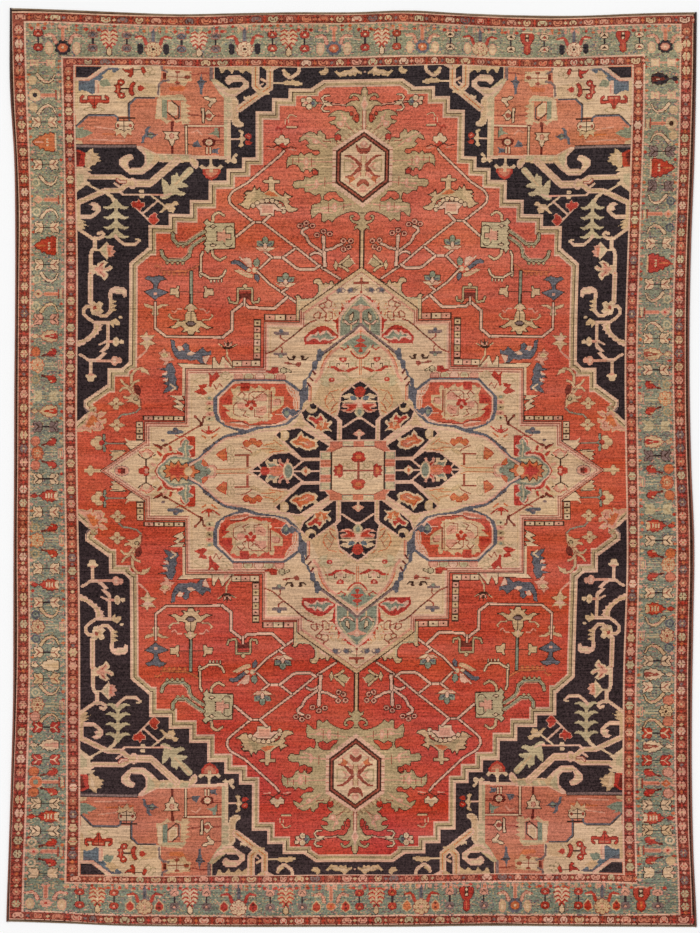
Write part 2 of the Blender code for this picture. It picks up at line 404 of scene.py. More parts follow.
def medallion_outside(c):
    """What rides on the outer medallion's contour: rows of squares and saw-toothed leaves."""
    A, L = c.area, c.line
    squares(c, 263.5, 314.8, 295, 320, 3, ("rose", "ivory"))
    squares(c, 253, 320, 259.5, 366, 7, ("camel", "rose", "camel", "peach"))
    squares(c, 232, 361.3, 259.5, 366, 3, ("ivory", "rose"))
    squares(c, 143.5, 416.5, 183.5, 420, 4, ("rose", "ivory", "camel", "ivory"))
    squares(c, 136.5, 422, 142.5, 440, 3, ("ivory", "camel"))
    A("camel", "293,296.5 296,294.5 299,296 300,299 304,298 309,299.5 314,296 316.5,292 317,286 315,283.5 "
        "311.5,283 311.5,280.5 314,278.5 318,278.5 320,281 321.5,284 324,282.5 327.5,284 328.5,281.3 331,281 "
        "332,284.5 335,283.5 340,280 332,291 316,302 301,313 299,320.5 295,320.5 295,298", "umber", 0.9)
    L("sage", "298,318 298,300 312,299 318,293 318,282", 1.6)
    L("peach", "322,291 329,286", 1.8)
    A("ivory", "212,369 212,357.5 214,356.3 215.5,360 218.5,364.5 220.5,360 221,357 223,356 225,359.5 "
        "229,363.5 233,369", "umber", 0.8)
    A("ivory", "214,368 214.5,361 218.5,367 222,359.5 222.5,367")
    A("rose", "224,368 224,362 230,368")
    A("ivory", "176,363 212,364.5 212,368 186,368 186,396 182,396 182,368", "umber", 0.6)
    A("ivory", "168,395.5 182,395.5 184.5,400 178,400 184.5,405 182,409 184.5,412 172,406 178,404 173,401 "
        "177,399", "umber", 0.7)
    A("ivory", "124,437 127,441 144,440.5 144,444 130,450 127,446 124,444 127,443", "umber", 0.7)
    A("ivory", "109,451 125,450 114,461 110,460 113,457 109,455 113,453.5", "umber", 0.6)


def medallion(c):
    """The outer medallion: its contour, its flowers, and the blue outlines of the inner petals."""
    A, L, O = c.area, c.line, c.oval
    medallion_outside(c)
    c.area("ivory", MEDALLION)
    rim(c, MEDALLION, [(7.6, "camel"), (6.8, "ivory"), (5.4, "peach"), (4.6, "brick"), (4.1, "peach"),
        (3.1, "rose"), (2.2, "brick"), (1.6, "rose"), (0.7, "umber")])
    L("camel", "302,310 360,270", 3.4)
    L("umber", "299,309.3 361,266.5", 0.9)
    L("rose", "304,312.5 334,290.5", 2)
    # top point of the outer medallion: a madder cross, pairs of cloud-like eyes, a saw of leaves over the arch
    L("ivory", "352,287 362,280", 5)
    L("brick", "353,283.5 362,283", 3)
    A("brick", "358,278 362,277 362,294 358.5,293.5 359.5,286")
    for x in (339.5, 350.5):
        A("mauve", [(x - 5.3, 291), (x - 3.5, 288.7), (x, 287.5), (x + 3, 288.3), (x + 5.3, 290.5),
            (x + 2, 293.5), (x - 1.5, 293), (x - 3.5, 294)])
        O("slate", x - 1.8, 290.6, 1.8, 1.6)
        O("ivory" if x < 345 else "olive", x + 2.2, 291, 1.2, 1)
    L("olive", "352,289 358,286", 1.2)
    A("crimson", "362,293.5 357,295 349,298.5 349.5,301 346,301 347.5,304.5 343,304.5 343.5,307 340,306.5 "
        "339.5,312.5 337,311.5 338,316 334.5,320 330,320.5 334.5,323 335.5,332 337.5,335 338.5,321 349,307 "
        "361,297")
    A("peach", "346,302 348,305 344,309 341,307")
    for x, y in ((333, 303), (331, 307), (344, 299), (333, 312), (340, 302)):
        L("camel", [(x, y), (x + 3, y - 1.5)], 2)
        L("orange", [(x, y + 1.5), (x + 1.5, y + 4)], 1.1)
    # scrolled red ribbon
    for points in ("322,303.5 326,301 325.5,298 327,300 330.5,302 330,306 327,308.5 323,307.5",
            "318,304.5 322,303.2 324,306 321,308.5 318,306.5 317.8,305", "321,309 325,313 324.5,319",
            "312.5,314.5 317,311.5 320,313 318,318", "318.5,313.5 318,318.5",
            "312.5,314.5 313,317.5 319,318 325,316", "327,312 331,312.5 331,318 327,321 323.5,320.5"):
        L("brick", points, 1.2)
    L("sage", "319,306 322,306", 1.3)
    L("camel", "328,313.5 328,319", 1.8)
    L("peach", "323.5,310 328,308 335,308.5", 1.8)
    # horned leaf in crimson and blue-green
    A("crimson", "303.5,345 303,337 308,331.5 316,327 322,325.3 327,326.8 331,330 335,334 337.5,335 337.5,338 "
        "331,341.5 326,344 305,344.5")
    A("camel", "300,334 311,325.5 320,323 327,323.5 332,326 335,331 330,328.3 326,325.5 318,325.5 309,330")
    A("peach", "305,338 309,334.5 314,334 317,331 319,334 322,331 325.5,330.3 328,332 331.5,336 337,336.5 "
        "331,340 327,341 322,339.5 319,342 316,339 312,338.5 308,340.5 305.5,341")
    A("teal", "308.5,337 312,334.8 315.5,336 317.3,332.3 319,336 322.5,334 325.5,331.8 327.5,334 330,337 "
        "335.5,337.3 331.5,339 327.5,339.5 325,337.5 322,338 319,340.3 316.5,337.5 312,337.3")
    L("teal", "325,332 325.5,338", 1.8)
    A("brick", "327.5,342 330,341 331.5,343 328.5,344.5")
    # stem with buds across the ivory ground
    L("brick", "266,353.5 273,351 278,347 284.5,341.3 293,335 302,327 309,322 315,320", 1.5)
    L("umber", "284,341.8 300,329 308,323", 0.8)
    L("brick", "279.5,334 279.3,337.5 281.5,339.5 284.5,341", 1.3)
    L("brick", "279,346 281.5,348.5 281,352", 1.3)
    A("mauve", "273,334.5 273,332 277.5,331.5 278.5,329 282,329 282.5,331.5 287.5,331.5 287.5,335 280,335.2")
    A("mauve", "272.5,354.8 272.5,352.8 278,352.5 286.5,352.3 286.5,355 282.5,355.8 281,358 278,357.5 "
        "277,355.5")
    O("slate", 280, 331, 1.8, 2)
    O("teal", 280, 356, 1.8, 1.8)
    for points in ("286.5,357 288.5,359.3 293,359.3 294.5,356.3", "307,357 305,359.3 301,359.3 300.5,355.8"):
        L("umber", points, 1.3)
    O("umber", 293, 356.8, 1.7)
    O("umber", 301.8, 356.8, 1.7)
    A("brick", "282.5,362.5 288,361.3 289,363 295,363.5 296.5,361.5 300,362 300,365.5 298,367.5 294.5,364.8 "
        "287,364.5")
    A("crimson", "265,371 270,370.3 271.5,367.5 277.5,367.5 278,372.5 273,374 268,373.3", "brick", 0.5)
    O("sage", 283, 370.3, 3, 2.5, "umber", 0.7)
    L("sage", "286,370 290,371.5", 1.4, None, "umber", 0.5)
    # blue-green arch at the top
    A("peach", "362,292.5 354,297.5 344,307 338,315.5 337,322 337,338 343,339 362,328")
    A("teal", "362,294.8 356,299 346.5,308.5 340.5,316.5 339,322.5 339,336.5 345,335 362,325")
    L("sage", "358,299 350,306 343,315.5 341.5,323", 1.6)
    A("rose", "362,304 356,306.5 350.5,307 349.5,308.5 356,310.5 358.3,313 358.3,324 362,323")
    A("peach", "358,305.5 362,304 362,312 357.5,309")
    A("peach", "341.5,319.5 345,321 348.5,324 353,322 357.5,319.3 355,323.5 351.5,325.5 347,325.5 "
        "343.5,323.5", "umber", 0.7)
    A("ivory", "348.3,321 348,316 350,314.5 352,312.5 352,317 350.5,321.5", "umber", 0.8)
    L("camel", "350,325.5 350,331.5", 1.2, None, "brick", 0.5)
    # blue outline of the upper inner petal, with its saw-edged leaves, and the rose line inside it
    L("ivory", "316,384 305,399 299,404", 10)
    L("mauve", "361,323.5 350,332.5 341,339.5 334,344.5 328,349 322,353", 2.6)
    L("umber", "354,331 343,339 332,347.5 322,355", 0.9)
    A("slate", "316,350 319,348 321,351 323.5,352 320,360.5 317,361.5 316.5,368 314,371.5 311.5,372 310,376 "
        "306,379.5 305.5,398.5 302,401.5 300.5,399.5 300,389 302.5,387 302,380.5 307.5,376.5 308.5,372.5 "
        "311,369.5 311,362 315.8,359.5")
    L("rose", "361,329.5 347,340.5 340,345.5 330,353 324.5,361 321.5,368.5 319.5,376 315,381.5", 3)
    L("orange", "330.5,350.5 323.5,359.5 320,369", 1.2)
    L("rose", "310,384 309.5,401.5 303,410", 2.6)
    L("orange", "311,384 310.8,401", 1)
    for x, y in ((313.5, 371), (311, 377.5), (308.5, 383)):
        L("wine", [(x - 1.5, y), (x + 1, y + 3)], 1.9)
        L("peach", [(x + 0.5, y - 1), (x + 3, y + 3)], 1.3)
    # inside of the upper petal
    A("sage", "338,346.5 341,343.5 346,340 352,335.5 362,331 362,356.5 356.5,356 352,352 349.5,347.5 346,350 "
        "342.5,349")
    A("teal", "341,345.5 347,341 353,337.5 362,334 362,354.5 357,354 353,350 349.5,345.5 346,347.5")
    L("peach", "362,331 350,337.5 339,345.5", 1)
    A("crimson", "362,335 358.5,336.5 359,338.5 354,341 359,343 352,347 359,348 357,352 362,353.5")
    A("orange", "362,330 358.5,331.5 360,336 362,336")
    L("crimson", "340,348 343,350.3 347.5,347.5 346,345.5", 1.3)
    L("crimson", "350,352 352,355 356.5,358.5 362,358.3", 1.6)
    L("rose", "351.5,349.5 354.5,353.5 358,356.3 362,356.2", 1)
    A("camel", "322,380 336,384 350,380.3 362,377 362,381 352,385 344,392 339,396 337,414 320,406 312,401 "
        "318,388")
    L("orange", "358.7,360 358.7,375", 0.9)
    L("camel", "328,367 323,377", 1.4)
    A("crimson", "326,367.3 328,365.8 334,366 338.5,369 344,371 350,368.3 357,367 357.3,368.5 352.5,370.5 "
        "348.5,372.8 344,372 337,371.8 333,369")
    A("crimson", "337.5,357.5 346,357.3 346,360.5 342.5,363 339,361")
    O("rose", 342, 359.8, 1.6, 1.2)
    for s in (-1, 1):
        x = 342 + 0.5 * s
        L("olive", [(x + 12.5 * s, 367), (x + 12.5 * s, 361.5), (x + 9 * s, 361.5),
            (x + 8, 359.5) if s > 0 else (x - 8, 359.5), (x + 5 * s, 361)], 1)
        L("umber", [(x + 5.5 * s, 367.5), (x + 5.5 * s, 364), (x + 2.5 * s, 364.5)], 1)
        O("sage", x + 9 * s, 364.5, 2.2, 2)
    O("peach", 342, 367, 2.6, 2)
    O("rose", 343, 368.3, 1.6, 1)
    L("olive", "342,373 347,377.5 352,379.5", 1.8)
    L("sage", "343,373 348,378", 0.9)
    A("sage", "318.5,379.5 322,377.5 321,375.5 326,375.5 330,373.5 333,376.5 330,379 328,383.5 329,387.5 "
        "323,386 320,383.5 323,381.5", "olive", 0.7)
    O("crimson", 331, 380, 3.2, 2.4)
    O("rose", 331.5, 379.5, 1.1)
    L("olive", "336,380 346,380.5 353,379.3", 0.9)
    for points in ("336,384 333,388 335,391 338,387 341,385", "330,393 332.5,395 330.5,398 328,396 328,390",
            "335,398 332,401 334,405 337,402", "327,401 324,404 325,409 329,406 328,402",
            "318,397 321,401 319,405 322,409", "344,382 341,386 343,389 347,386"):
        L("olive", points, 0.9)
    for points in ("333,392 337,394 335,397", "339,388 342,391", "321,398 325,397 327,399", "331,404 331,409"):
        L("brick", points, 0.8)
    # left side: vine with its grey cloud, saw leaf and birds
    L("brick", "161,449.5 163,447 180,437 196,427.5 200.5,425", 1.7)
    L("wine", "194.5,415.5 197,418 200.3,421 200.3,425.5", 1.9)
    L("wine", "205,416.3 202.8,418.5 202.3,425", 1.7)
    for x, y in ((195.3, 416.5), (204.8, 416.8)):
        O("brick", x, y, 1.9, 1.5)
    for x, y, rx, ry in ((170, 432.3, 3.2, 2), (175.3, 429.8, 3, 2.4), (180.3, 431.8, 3.4, 1.8),
            (175.5, 432.5, 5, 2)):
        O("slate", x, y, rx, ry)
    O("mauve", 175.3, 431, 2.2, 1)
    L("crimson", "176,435.3 180,436.8 186,436", 1.2)
    A("wine", "152,443.3 158,444.3 161,445.8 165,443 168.8,443.3 164.5,447.8 160.5,449.3 156,447.5")
    L("crimson", "154,444.8 160,447.8", 1)
    O("mauve", 163, 440.3, 2, 1.5)
    L("crimson", "202,430 208,433.3 213.3,432 219.5,427.5", 1.5)
    L("crimson", "208.8,426.5 209.3,433", 1.4)
    A("crimson", "204,429 209,430.5 214,429.3 210,434")
    L("orange", "202,435.3 206,437.5", 1.6)
    L("orange", "212,437.5 217,434", 1.6)
    L("olive", "195,442.3 203,442.3 209,439.8", 0.9)
    # shoulder: red leaves, olive curls and the scalloped column
    L("olive", "193.5,381 197,378.3 201,376.8 205,377.3", 0.9)
    L("olive", "193.5,381 197.5,382.3", 0.9)
    A("crimson", "208,371.3 212,375.3 216,371 219.8,376 216,379.3 212.3,382.3 210.3,387.5 208.3,385.3 209,379")
    A("crimson", "197.5,384.5 207,383.8 206,387 203,388.3 205.3,391 207.3,393 203,394.8 198,393.3 193,391.5 "
        "198,389.3 200,388.3")
    O("camel", 210.5, 390, 3.6, 2.4)
    L("brick", "213.5,384.5 216,389 219.3,383.5 222.3,387", 1)
    O("ivory", 224, 376, 2.3, 1.9, "olive", 0.8)
    L("olive", "220.5,374.5 224.5,371.8 229.5,373.5", 1.1)
    L("olive", "222,381.5 227,379.5 231,377", 1)
    L("olive", "196.5,398.3 200,396.3 203,398.3", 1)
    A("olive", "204,396.5 208,395 213,396.8 213,399.5 207,399.8")
    O("teal", 209.3, 397.5, 2, 1.1)
    for y, yarn in ((403, "rose"), (408.3, "olive"), (413.6, "rose"), (418.5, "sage")):
        A(yarn, [(214.5, y - 2.4), (207, y - 2.4), (204.8, y), (207, y + 2.4), (214.5, y + 2.4)], "camel", 0.6)
        O("brick" if yarn == "rose" else "umber", 209.5, y, 1.3, 0.9)
    # left medallion point: buds in a row
    O("rose", 121.5, 470, 6.6, 3.8, "mauve", 0.7)
    O("wine", 121.5, 470, 3.6, 2)
    O("crimson", 119, 470, 1.6, 1.4)
    O("crimson", 141.5, 470, 3.2, 2.4)
    A("crimson", "143.5,466 147,465.5 149.5,469 149.3,472 146.3,474.3 143.5,473")
    O("rose", 146, 469.8, 1.5)
    L("umber", "146,458.5 146,466", 1.2)
    L("umber", "148,470 155,470.5", 0.9)
    A("rose", "138.8,450.8 143.8,451 146,448.8 149.3,449.8 153.5,453 150.3,456.8 142,456.8", "crimson", 0.7)
    A("ivory", "142,454 145,451.8 148.8,453.8 149.5,457.3 145.5,458.3 142.3,457")
    L("umber", "138,454.5 141.5,457.3 146,459.3 150.3,457.3 155.5,454.8", 1.1)
    A("camel", "111,452.3 126,451 122,455 116,459 113.5,459.3 112.5,455.8")
    L("umber", "112,452 126,451.5", 0.7)
    A("ivory", "124.5,438 127.3,440.3 141,441 137.5,443.3 133,448 130,449.3 126.5,445 129.3,443.3 126,441.3")
    # fringe of small leaves round the teal star
    for x, y, turn, yarn in ((151, 471, 180, "camel"), (152, 465, 196, "rose"), (154.5, 459.5, 210, "camel"),
            (158, 455, 224, "crimson"), (153.5, 449.5, 215, "camel"), (163, 451.5, 240, "rose"),
            (168, 450, 255, "crimson")):
        A(yarn, placed("-1,-2 4,-1.6 6,0 4,1.6 -1,2", x + 3, y, turn), "camel", 0.6)
    # teal star with an orange heart
    A("crimson", "154.5,471 157,465 161.5,460.5 163,456 167,452.5 173,452 177,453 176,449.3 180.5,446 "
        "180.5,441 184,438 186,436.5 191,435.5 195,436.3 195.3,456 188,458 176,460 166,465 159,471")
    A("peach", "155.8,471 158,465.5 164,461 168,456 174,453.8 183,455 183,453 176.3,450.3 176.3,447.8 "
        "180.3,446 181.3,442.5 185.3,437.3 188,439.5 189.8,441.5 189,444 194,445.8 194,448 189,450.3 191,455 "
        "190,458 204,457.3 207,462 211,465.5 217,466.5 217,471")
    A("teal", "157,471 159.3,466.3 164,462.3 168,458.3 173.5,455.8 180,456.8 184,456.8 184.3,453.3 177.5,450 "
        "177.5,448.3 181.8,446.3 182.5,443 186,438.5 188.8,441.3 188,444.5 193,446.3 190,448.8 188.3,450.3 "
        "190,454 188,456.5 193,458.3 199,459.8 202,458.8 204,461 200.5,464.3 207,466.3 210,471")
    A("sage", "159,471 161,467.3 166,463.3 171,459.3 178,458.3 190,460 184,462.5 172,463.3 165,468 163,471")
    L("sage", "186,441.5 185.5,447 186,457", 1.6)
    L("rose", "188,464.5 198,459 207,452.3", 1, None, "brick", 0.5)
    A("orange", "203,458.8 206.5,461.8 208.8,465.3 205,465.8 201.8,463.5", "crimson", 0.6)
    O("rose", 212, 471, 5.3, 6.6, "brick", 0.5)
    O("ivory", 211, 471, 3.4, 4.5)
    O("teal", 208.5, 471, 2.6, 3.4)
    A("orange", "162.5,471 166.5,468.3 164.3,464.3 169.5,465.3 170.8,460.8 175,464.3 178.8,459.8 182,465.3 "
        "187,461.8 189,466.3 194.3,463.8 195,468.3 199.8,470 199.8,471", "umber", 0.8)
    A("crimson", "168,471 171,468 170,465.5 174.5,467.5 178.5,463.5 180.5,468 185,466 183,471")
    A("camel", "184,471 186,467.3 189.5,466 192,469 193,471")
    # blue outline of the left inner petal
    L("slate", "205,451 212,446 218.5,440.8 225,436.8 234,434.5 240,433.5 248,431.5", 3.6)
    L("slate", "188,463 199,457.5 205,451", 1.6)
    for x, y in ((207.5, 449.5), (211.5, 447), (215.5, 443.5), (220, 440)):
        L("umber", [(x - 2, y - 1.8), (x, y + 0.8), (x + 2.5, y + 1.2)], 0.9)
    L("umber", "203,449 206.5,451.5 211,450", 0.8)
    L("peach", "190,465 206,455 216,445.8 226,439 240,436.5 252,434.3 258,431.8 275,430 286,428.8 297,420.8 "
        "303,414", 1.7)
    L("rose", "206,453.3 215.5,444.5 225.5,437.8 240,435.2", 0.9)
    # inside of the left petal
    L("camel", "217,470 247,470", 2.2)
    L("orange", "217,469.1 245,469.1 251,467", 0.9)
    A("orange", "216.3,454.3 221,450.5 226,448.3 227.3,459 224,460.5 220,457.5", "crimson", 0.9)
    O("ivory", 230.8, 450, 3, 4.3, "olive", 0.9)
    O("ivory", 230.8, 459.5, 3, 4.3, "olive", 0.9)
    L("olive", "231,448 231,452", 0.9)
    L("olive", "231,457.5 231,461.5", 0.9)
    O("sage", 229, 454.8, 2, 1.4)
    L("brick", "235.5,455 250.5,455", 1.7)
    L("brick", "248,455.5 248,465.5", 3.1)
    A("orange", "243,443 246,440.3 249.3,441 251,438.3 255,438.3 257,441 261.3,440.3 262.8,444 259,447.3 "
        "256,445.3 253,444 250,445.3 247,447.5 245,446.3", "crimson", 0.8)
    O("ivory", 253, 446.8, 2.8, 1.9, "olive", 0.5)
    L("brick", "252,440 252.8,444", 0.8)
    L("brick", "241.5,447 247,449 252,452 254,454.5", 1.1)
    A("camel", "250,454.8 256,451 262.3,450 259,453.3 254,456.3", "olive", 0.7)


def cartouche(c):
    """The red eight-sided panel with its saw-edged rosette."""
    A, L, O = c.area, c.line, c.oval
    A("slate", "213,410 213,397.5 233,378.7 284,378.7 293,384 302,391.5 308,384 308,399 303,403 302,410 "
        "298,416 288,424.5 277,427 260,429 247,433.5 236,430.5 224,426 216,420")
    A("peach", "217,412 217,397 234,381.3 284,381.3 291,386.5 299,392 299.5,407 296,413.5 286,422.8 275,425.5 "
        "256,426.8 247,430 234,427.8 221,421.5")
    A("red", "219,411.5 219,398 234.5,383.3 285,383.3 287.5,391.5 292.5,397.5 293.5,408.5 287.5,419 276,423.8 "
        "250,425.5 240,422 226,422.5 221,419")
    L("salmon", "226,423.5 238,425.5 248,427", 3)
    L("wine", "230,421.5 243,422 250,425.7 276,423.7", 0.8)
    A("crimson", "220,400 230,394 232,404 222,403")
    A("crimson", "222,409 231,409 226,418 221,416")
    # saw-edged rosette
    A("camel", "231,391.3 230.5,388 234,389 237,385.8 239.8,386.3 240.3,391 249,391.3 250,386.3 254,389 "
        "257,388 258,385.3 261,386.3 263,389 270,390.3 271,386.8 274.3,387.5 275.3,391 274.3,396 283.5,396.3 "
        "283.5,404.3 280,408.3 272,412.3 270.5,414 271.5,419.5 262,420.5 256,423 250,424.3 246,421 238,420 "
        "231,418 225,411.5 230,411.3 221.5,404.3 232.5,404.8 232.5,399 233,395")
    A("ivory", "236,392 246,392.5 251,391 262,391.5 267,394 267.5,401 281,398 281.5,403 272,409 268,413 "
        "262,417 252,421 246,418 236,416.5 233,410 235,404 237,399")
    A("rose", "236.5,403.5 241,402 246,404.5 245,408.5 238,408.5")
    A("rose", "257,396 263,393.5 267,396 267,401.5 261,401 255,402")
    A("rose", "273,399.5 281,399.3 281,403 277,406 273,405.5")
    A("rose", "256,408 266,405.5 267,412 262,416 255.5,415")
    for points in ("238,395.5 241.5,391.5 245,395 242.5,399 246,401.5",
            "249,400 248.7,394.5 253,391.3 262,391.8 267.5,396", "251,401 266.5,389.5",
            "268.7,392 268.7,417.5", "271,391.5 271,414", "234,405 238,401.5", "234,405.5 234,414 240,417",
            "254.3,409 254.3,417 263,417.5", "240,409.5 246,411 243,415.5 249,418",
            "251,396 255,398.5 260,396.5", "275,399 280,399.5 280.5,404", "259,412 264,409"):
        L("brick", points, 0.9)
    L("olive", "236,396 240,399.5", 1.3)
    L("olive", "246,413 250,416", 1.3)
    for dx, dy in ((-3.8, 0.3), (3.8, 0.3), (-2, -2.8), (2, -2.8), (0, 3.4)):
        O("crimson", 251 + dx, 405 + dy, 2.3, 2)
    O("rose", 251, 405, 1.7)
    O("brick", 245.5, 400.5, 1.2)
    for x, y in ((271.3, 415.5), (263.5, 420), (266.5, 420)):
        O("ivory", x, y, 1.6, 1.4)
    A("crimson", "240,383 249.5,383 248.5,389.5 244.5,391 241,389.5")
    # slate leaf at its right, and the saw line
    L("peach", "275.5,414.5 282,414.5", 1.2)
    A("slate", "281.5,412 283,408.8 287,406.5 290.5,409 296,408.8 301,410 297.5,414 292.5,417 290,415 "
        "287,419.3 284,416.3", "peach", 0.7)
    O("teal", 286.5, 413, 2.2, 2.8)
    L("peach", "286.5,387 288.5,391 292.5,390.5 293.5,395.5 296,401.5 296,409", 1.7, None, "orange", 0.6)
    # scalloped band over the panel
    for k, yarn in enumerate(("rose", "sage", "peach", "sage", "rose")):
        x = 237.8 + 10.6 * k
        A(yarn, [(x - 4.6, 379), (x - 4.6, 375.5), (x - 2.5, 373.6), (x + 2.5, 373.6), (x + 4.6, 375.5),
            (x + 4.6, 379)], "brick", 0.6)
        if k % 2:
            O("olive", x, 377, 1.5, 1)


def heart(c):
    """Dark inner medallion and its ivory centre."""
    A, L, O, B = c.area, c.line, c.oval, c.box
    # camel fringes around the dark petals
    A("camel", "258,449 270,447.5 263,444.5 273,441 275,435.5 284,444 292,450 284,453 270,454.5")
    for points in ("264,445.5 275,443", "262,448.5 276,449.5", "274,440 282,446", "270,452 284,450.5"):
        L("orange", points, 0.9)
    A("camel", "303,404 308,401.5 313,401.5 318,405 310,412 305.5,412.5 300,418 306.5,418.5 303,422 308.5,424 "
        "304,427 307,430 297,430 292,428 300,416")
    A("camel", "320,399 326,389 344,386 348,388 340,396 338,414 333,419 322,409")
    for points in ("324,400 330,392 338,390", "328,404 334,398", "332,408 337,403", "330,414 336,411",
            "341,391 345,388", "326,396 325,404 329,409"):
        L("orange", points, 0.9)
    for points in ("331,394 335,402", "334,405 331,411"):
        L("brick", points, 0.8)
    lobes = ["361,380 353,384.5 348,389 341,394 339.8,400 338.8,410 336.5,416.5 341,421 341,441 361,441",
        "301,412 305,408.5 309,405 313.5,403.5 319,407 337,419 340,423.5 338,442 332,442 316,430 304,420",
        "275.5,434.5 279,431 285,429.8 300,427 318,438 331,446 326,452 321,452 321,459 301,459 290,448 "
        "283,441", "250.5,471 256,466.5 265,460 274,453.3 290,452 302,460 321,460 321,471"]
    for points in lobes:
        A("navy", points + " " + points.split()[0], "peach", 1.6)
    B("peach", 337.5, 421, 342.3, 441)
    L("camel", "339.8,424 339.8,441", 1.6)
    L("peach", "343.5,427.5 357,418.7 361,418.7", 2)
    for points, width in (("305,426.5 318,436 331,446", 2.3), ("319.5,431 334,441.5", 2),
            ("302,459 321,459", 2.4), ("284,441.5 302,458.5", 2.2)):
        L("peach", points, width)
    L("peach", "349.5,384.5 355.5,389.5", 1.6)
    # upper palmette
    A("crimson", "353.5,391 356,388 361,386.5 361,398 356,397")
    A("ivory", "341,396.5 346,394.5 350,393.8 354,396 358,398 358,402 352,403 344,403.5 340.5,401.5 347,400.5 "
        "349,399 344.5,398.5")
    A("blue", "350,396.5 354,396 357,399 355,401.5 350.5,400")
    A("peach", "354,401 361,399 361,413 354,413 356,409")
    A("rose", "342.5,404 350,404 357,402.5 358,409 351,413 344.5,412.5 340.5,410 347,410 348,408 341.5,407.5")
    A("crimson", "344,405 351,405 356.5,404.5 356,408.5 350,411.5 345,411.8 349.5,408")
    O("sage", 359.5, 412.5, 4.6, 4.8)
    O("teal", 360, 412.5, 2.6, 3)
    A("rose", "353,434.5 357,431.5 359,430 361,430 361,437 357,436.5")
    O("ivory", 360, 433.8, 2.2, 2)
    L("peach", "359.5,437 359.5,441", 1.8)
    # diagonal palmettes
    O("camel", 311.8, 408.8, 5.8, 4.2)
    O("ivory", 312, 410.3, 4, 2)
    A("navy", "309.5,404.5 313,403 316.5,405.5 316,408.3 313,409 310.5,408")
    A("ivory", "306.5,418.5 309,415 313,415.5 315.5,417.3 318,416 320.3,412.5 323.3,415 324.5,418 327,419.3 "
        "327.8,422.5 331,420.3 332.8,423 328.5,427 332.8,431.5 326,430.5 322,432.5 318,430.5 314.5,432 "
        "315.5,427 313,423.5 311,421.5 308.5,420.5")
    A("crimson", "308.5,418 310,416.3 313.3,417 316,419 319,417.5 320.5,415 322.5,417 323,420.5 320,422 "
        "318,425 316,424 313,421 310,419.5")
    A("orange", "317,425 319,422 323.5,421.5 326.5,423.5 329.5,423 327,427 329.5,429.5 325,428.8 321.5,430.8 "
        "318,428.5 316,429.5")
    L("ivory", "319,421 323,420.8 323.8,424 322.5,427.5", 1)
    O("camel", 321.3, 424, 1.4, 2)
    L("brick", "325.5,420.5 326,423", 0.8)
    O("camel", 284.3, 435.2, 5.4, 5.4)
    O("ivory", 285.8, 434.5, 2.6, 3.6)
    A("navy", "276.5,434.5 279,432 281.5,432.3 280.8,435.5 281.5,439 278.5,437.3")
    A("ivory", "290,441.5 293,438.8 297,437.3 298.5,434 301.5,430.8 303.5,433.5 304.3,436.3 308,436 "
        "310.5,438.5 314,439 316.3,437.3 319,439.8 317.3,442.3 318.8,446 316.3,449.3 313,449 310,450.5 "
        "305,449.5 300,446.8 297,447.5 293.5,445")
    A("orange", "292.3,441.3 297.5,439.3 299.8,435.5 302,433.5 303,437.5 308,438.3 310.5,440.5 315,441.5 "
        "316,446 313,447 309.5,448.5 304.5,447.5 301,444.8 297,445 294.5,443.3")
    A("salmon", "303,441.5 309,441 313.5,443.5 312,446.5 306,446.5")
    L("crimson", "297.5,440.5 300.3,436", 1)
    L("ivory", "300,442 304,442.5 308.5,444.5", 1)
    L("brick", "295,441.8 299,443", 0.8)
    # left palmette
    A("ivory", "265.5,461.5 268,459 270.5,461.5 273,462.3 273.5,459 277.3,459 278,463 280,466.5 279,471 "
        "266,471 268,466.5")
    A("teal", "268,463 271,464 274.5,463.5 276.5,465.5 274,467.5 270,467")
    A("rose", "278.3,459.3 281.3,458.5 282.5,462.5 285,463.3 286.8,461.5 287.8,458 290,459.5 289.3,464.3 "
        "285,468 280,466")
    A("crimson", "279.5,461 281.5,463.5 285,465 288.5,462 287.5,465 284,467 280.8,465")
    L("peach", "257,463.8 263,469.3", 1.7)
    A("crimson", "260.5,471 262.3,467 266,466.3 269,468 271.5,471")
    A("salmon", "270,468 276,465.5 283,467 286,471 271,471")
    L("orange", "273,469 283,469.5", 1)
    O("ivory", 289, 471, 5.4, 8.6)
    O("teal", 289, 471, 3.8, 7)
    L("peach", "294,468.3 304,460.3", 2)
    A("ivory", "300.5,471 304,468 306.5,465.8 309,468 313,471")
    A("rose", "304.3,467.8 306.5,465.8 308.7,467.8")
    A("orange", "304.3,471 306.5,468.5 308.7,471")
    L("peach", "312,471.3 321,471.3", 2.4)
    # crenellated band
    A("salmon", "331,441.5 343,441.5 343,446.8 332,452.3 326,452 331,447")
    L("brick", "331.7,452.3 343,447", 0.9)
    for x, yarn in ((343, "teal"), (354.5, "salmon")):
        B(yarn, x, 441.5, x + 11.5, 446.8)
        if yarn == "teal":
            B("sage", x + 0.5, 442, x + 11, 444.3)
            L("ivory", [(x + 1, 445), (x + 11, 445)], 0.9)
    L("brick", "343,447.3 361,447.3", 0.9)
    for y, yarn in ((452, "teal"), (459.5, "salmon"), (467, "teal")):
        B(yarn, 321, y, 331.5, y + 8)
        if yarn == "teal":
            B("sage", 322.5, y + 0.5, 331, y + 8)
            L("ivory", [(323, y + 3.5), (330, y + 3)], 1)
        else:
            L("rose", [(322, y + 3.6), (331, y + 3.6)], 1.2)
        L("peach", [(321, y), (331, y)], 0.8)
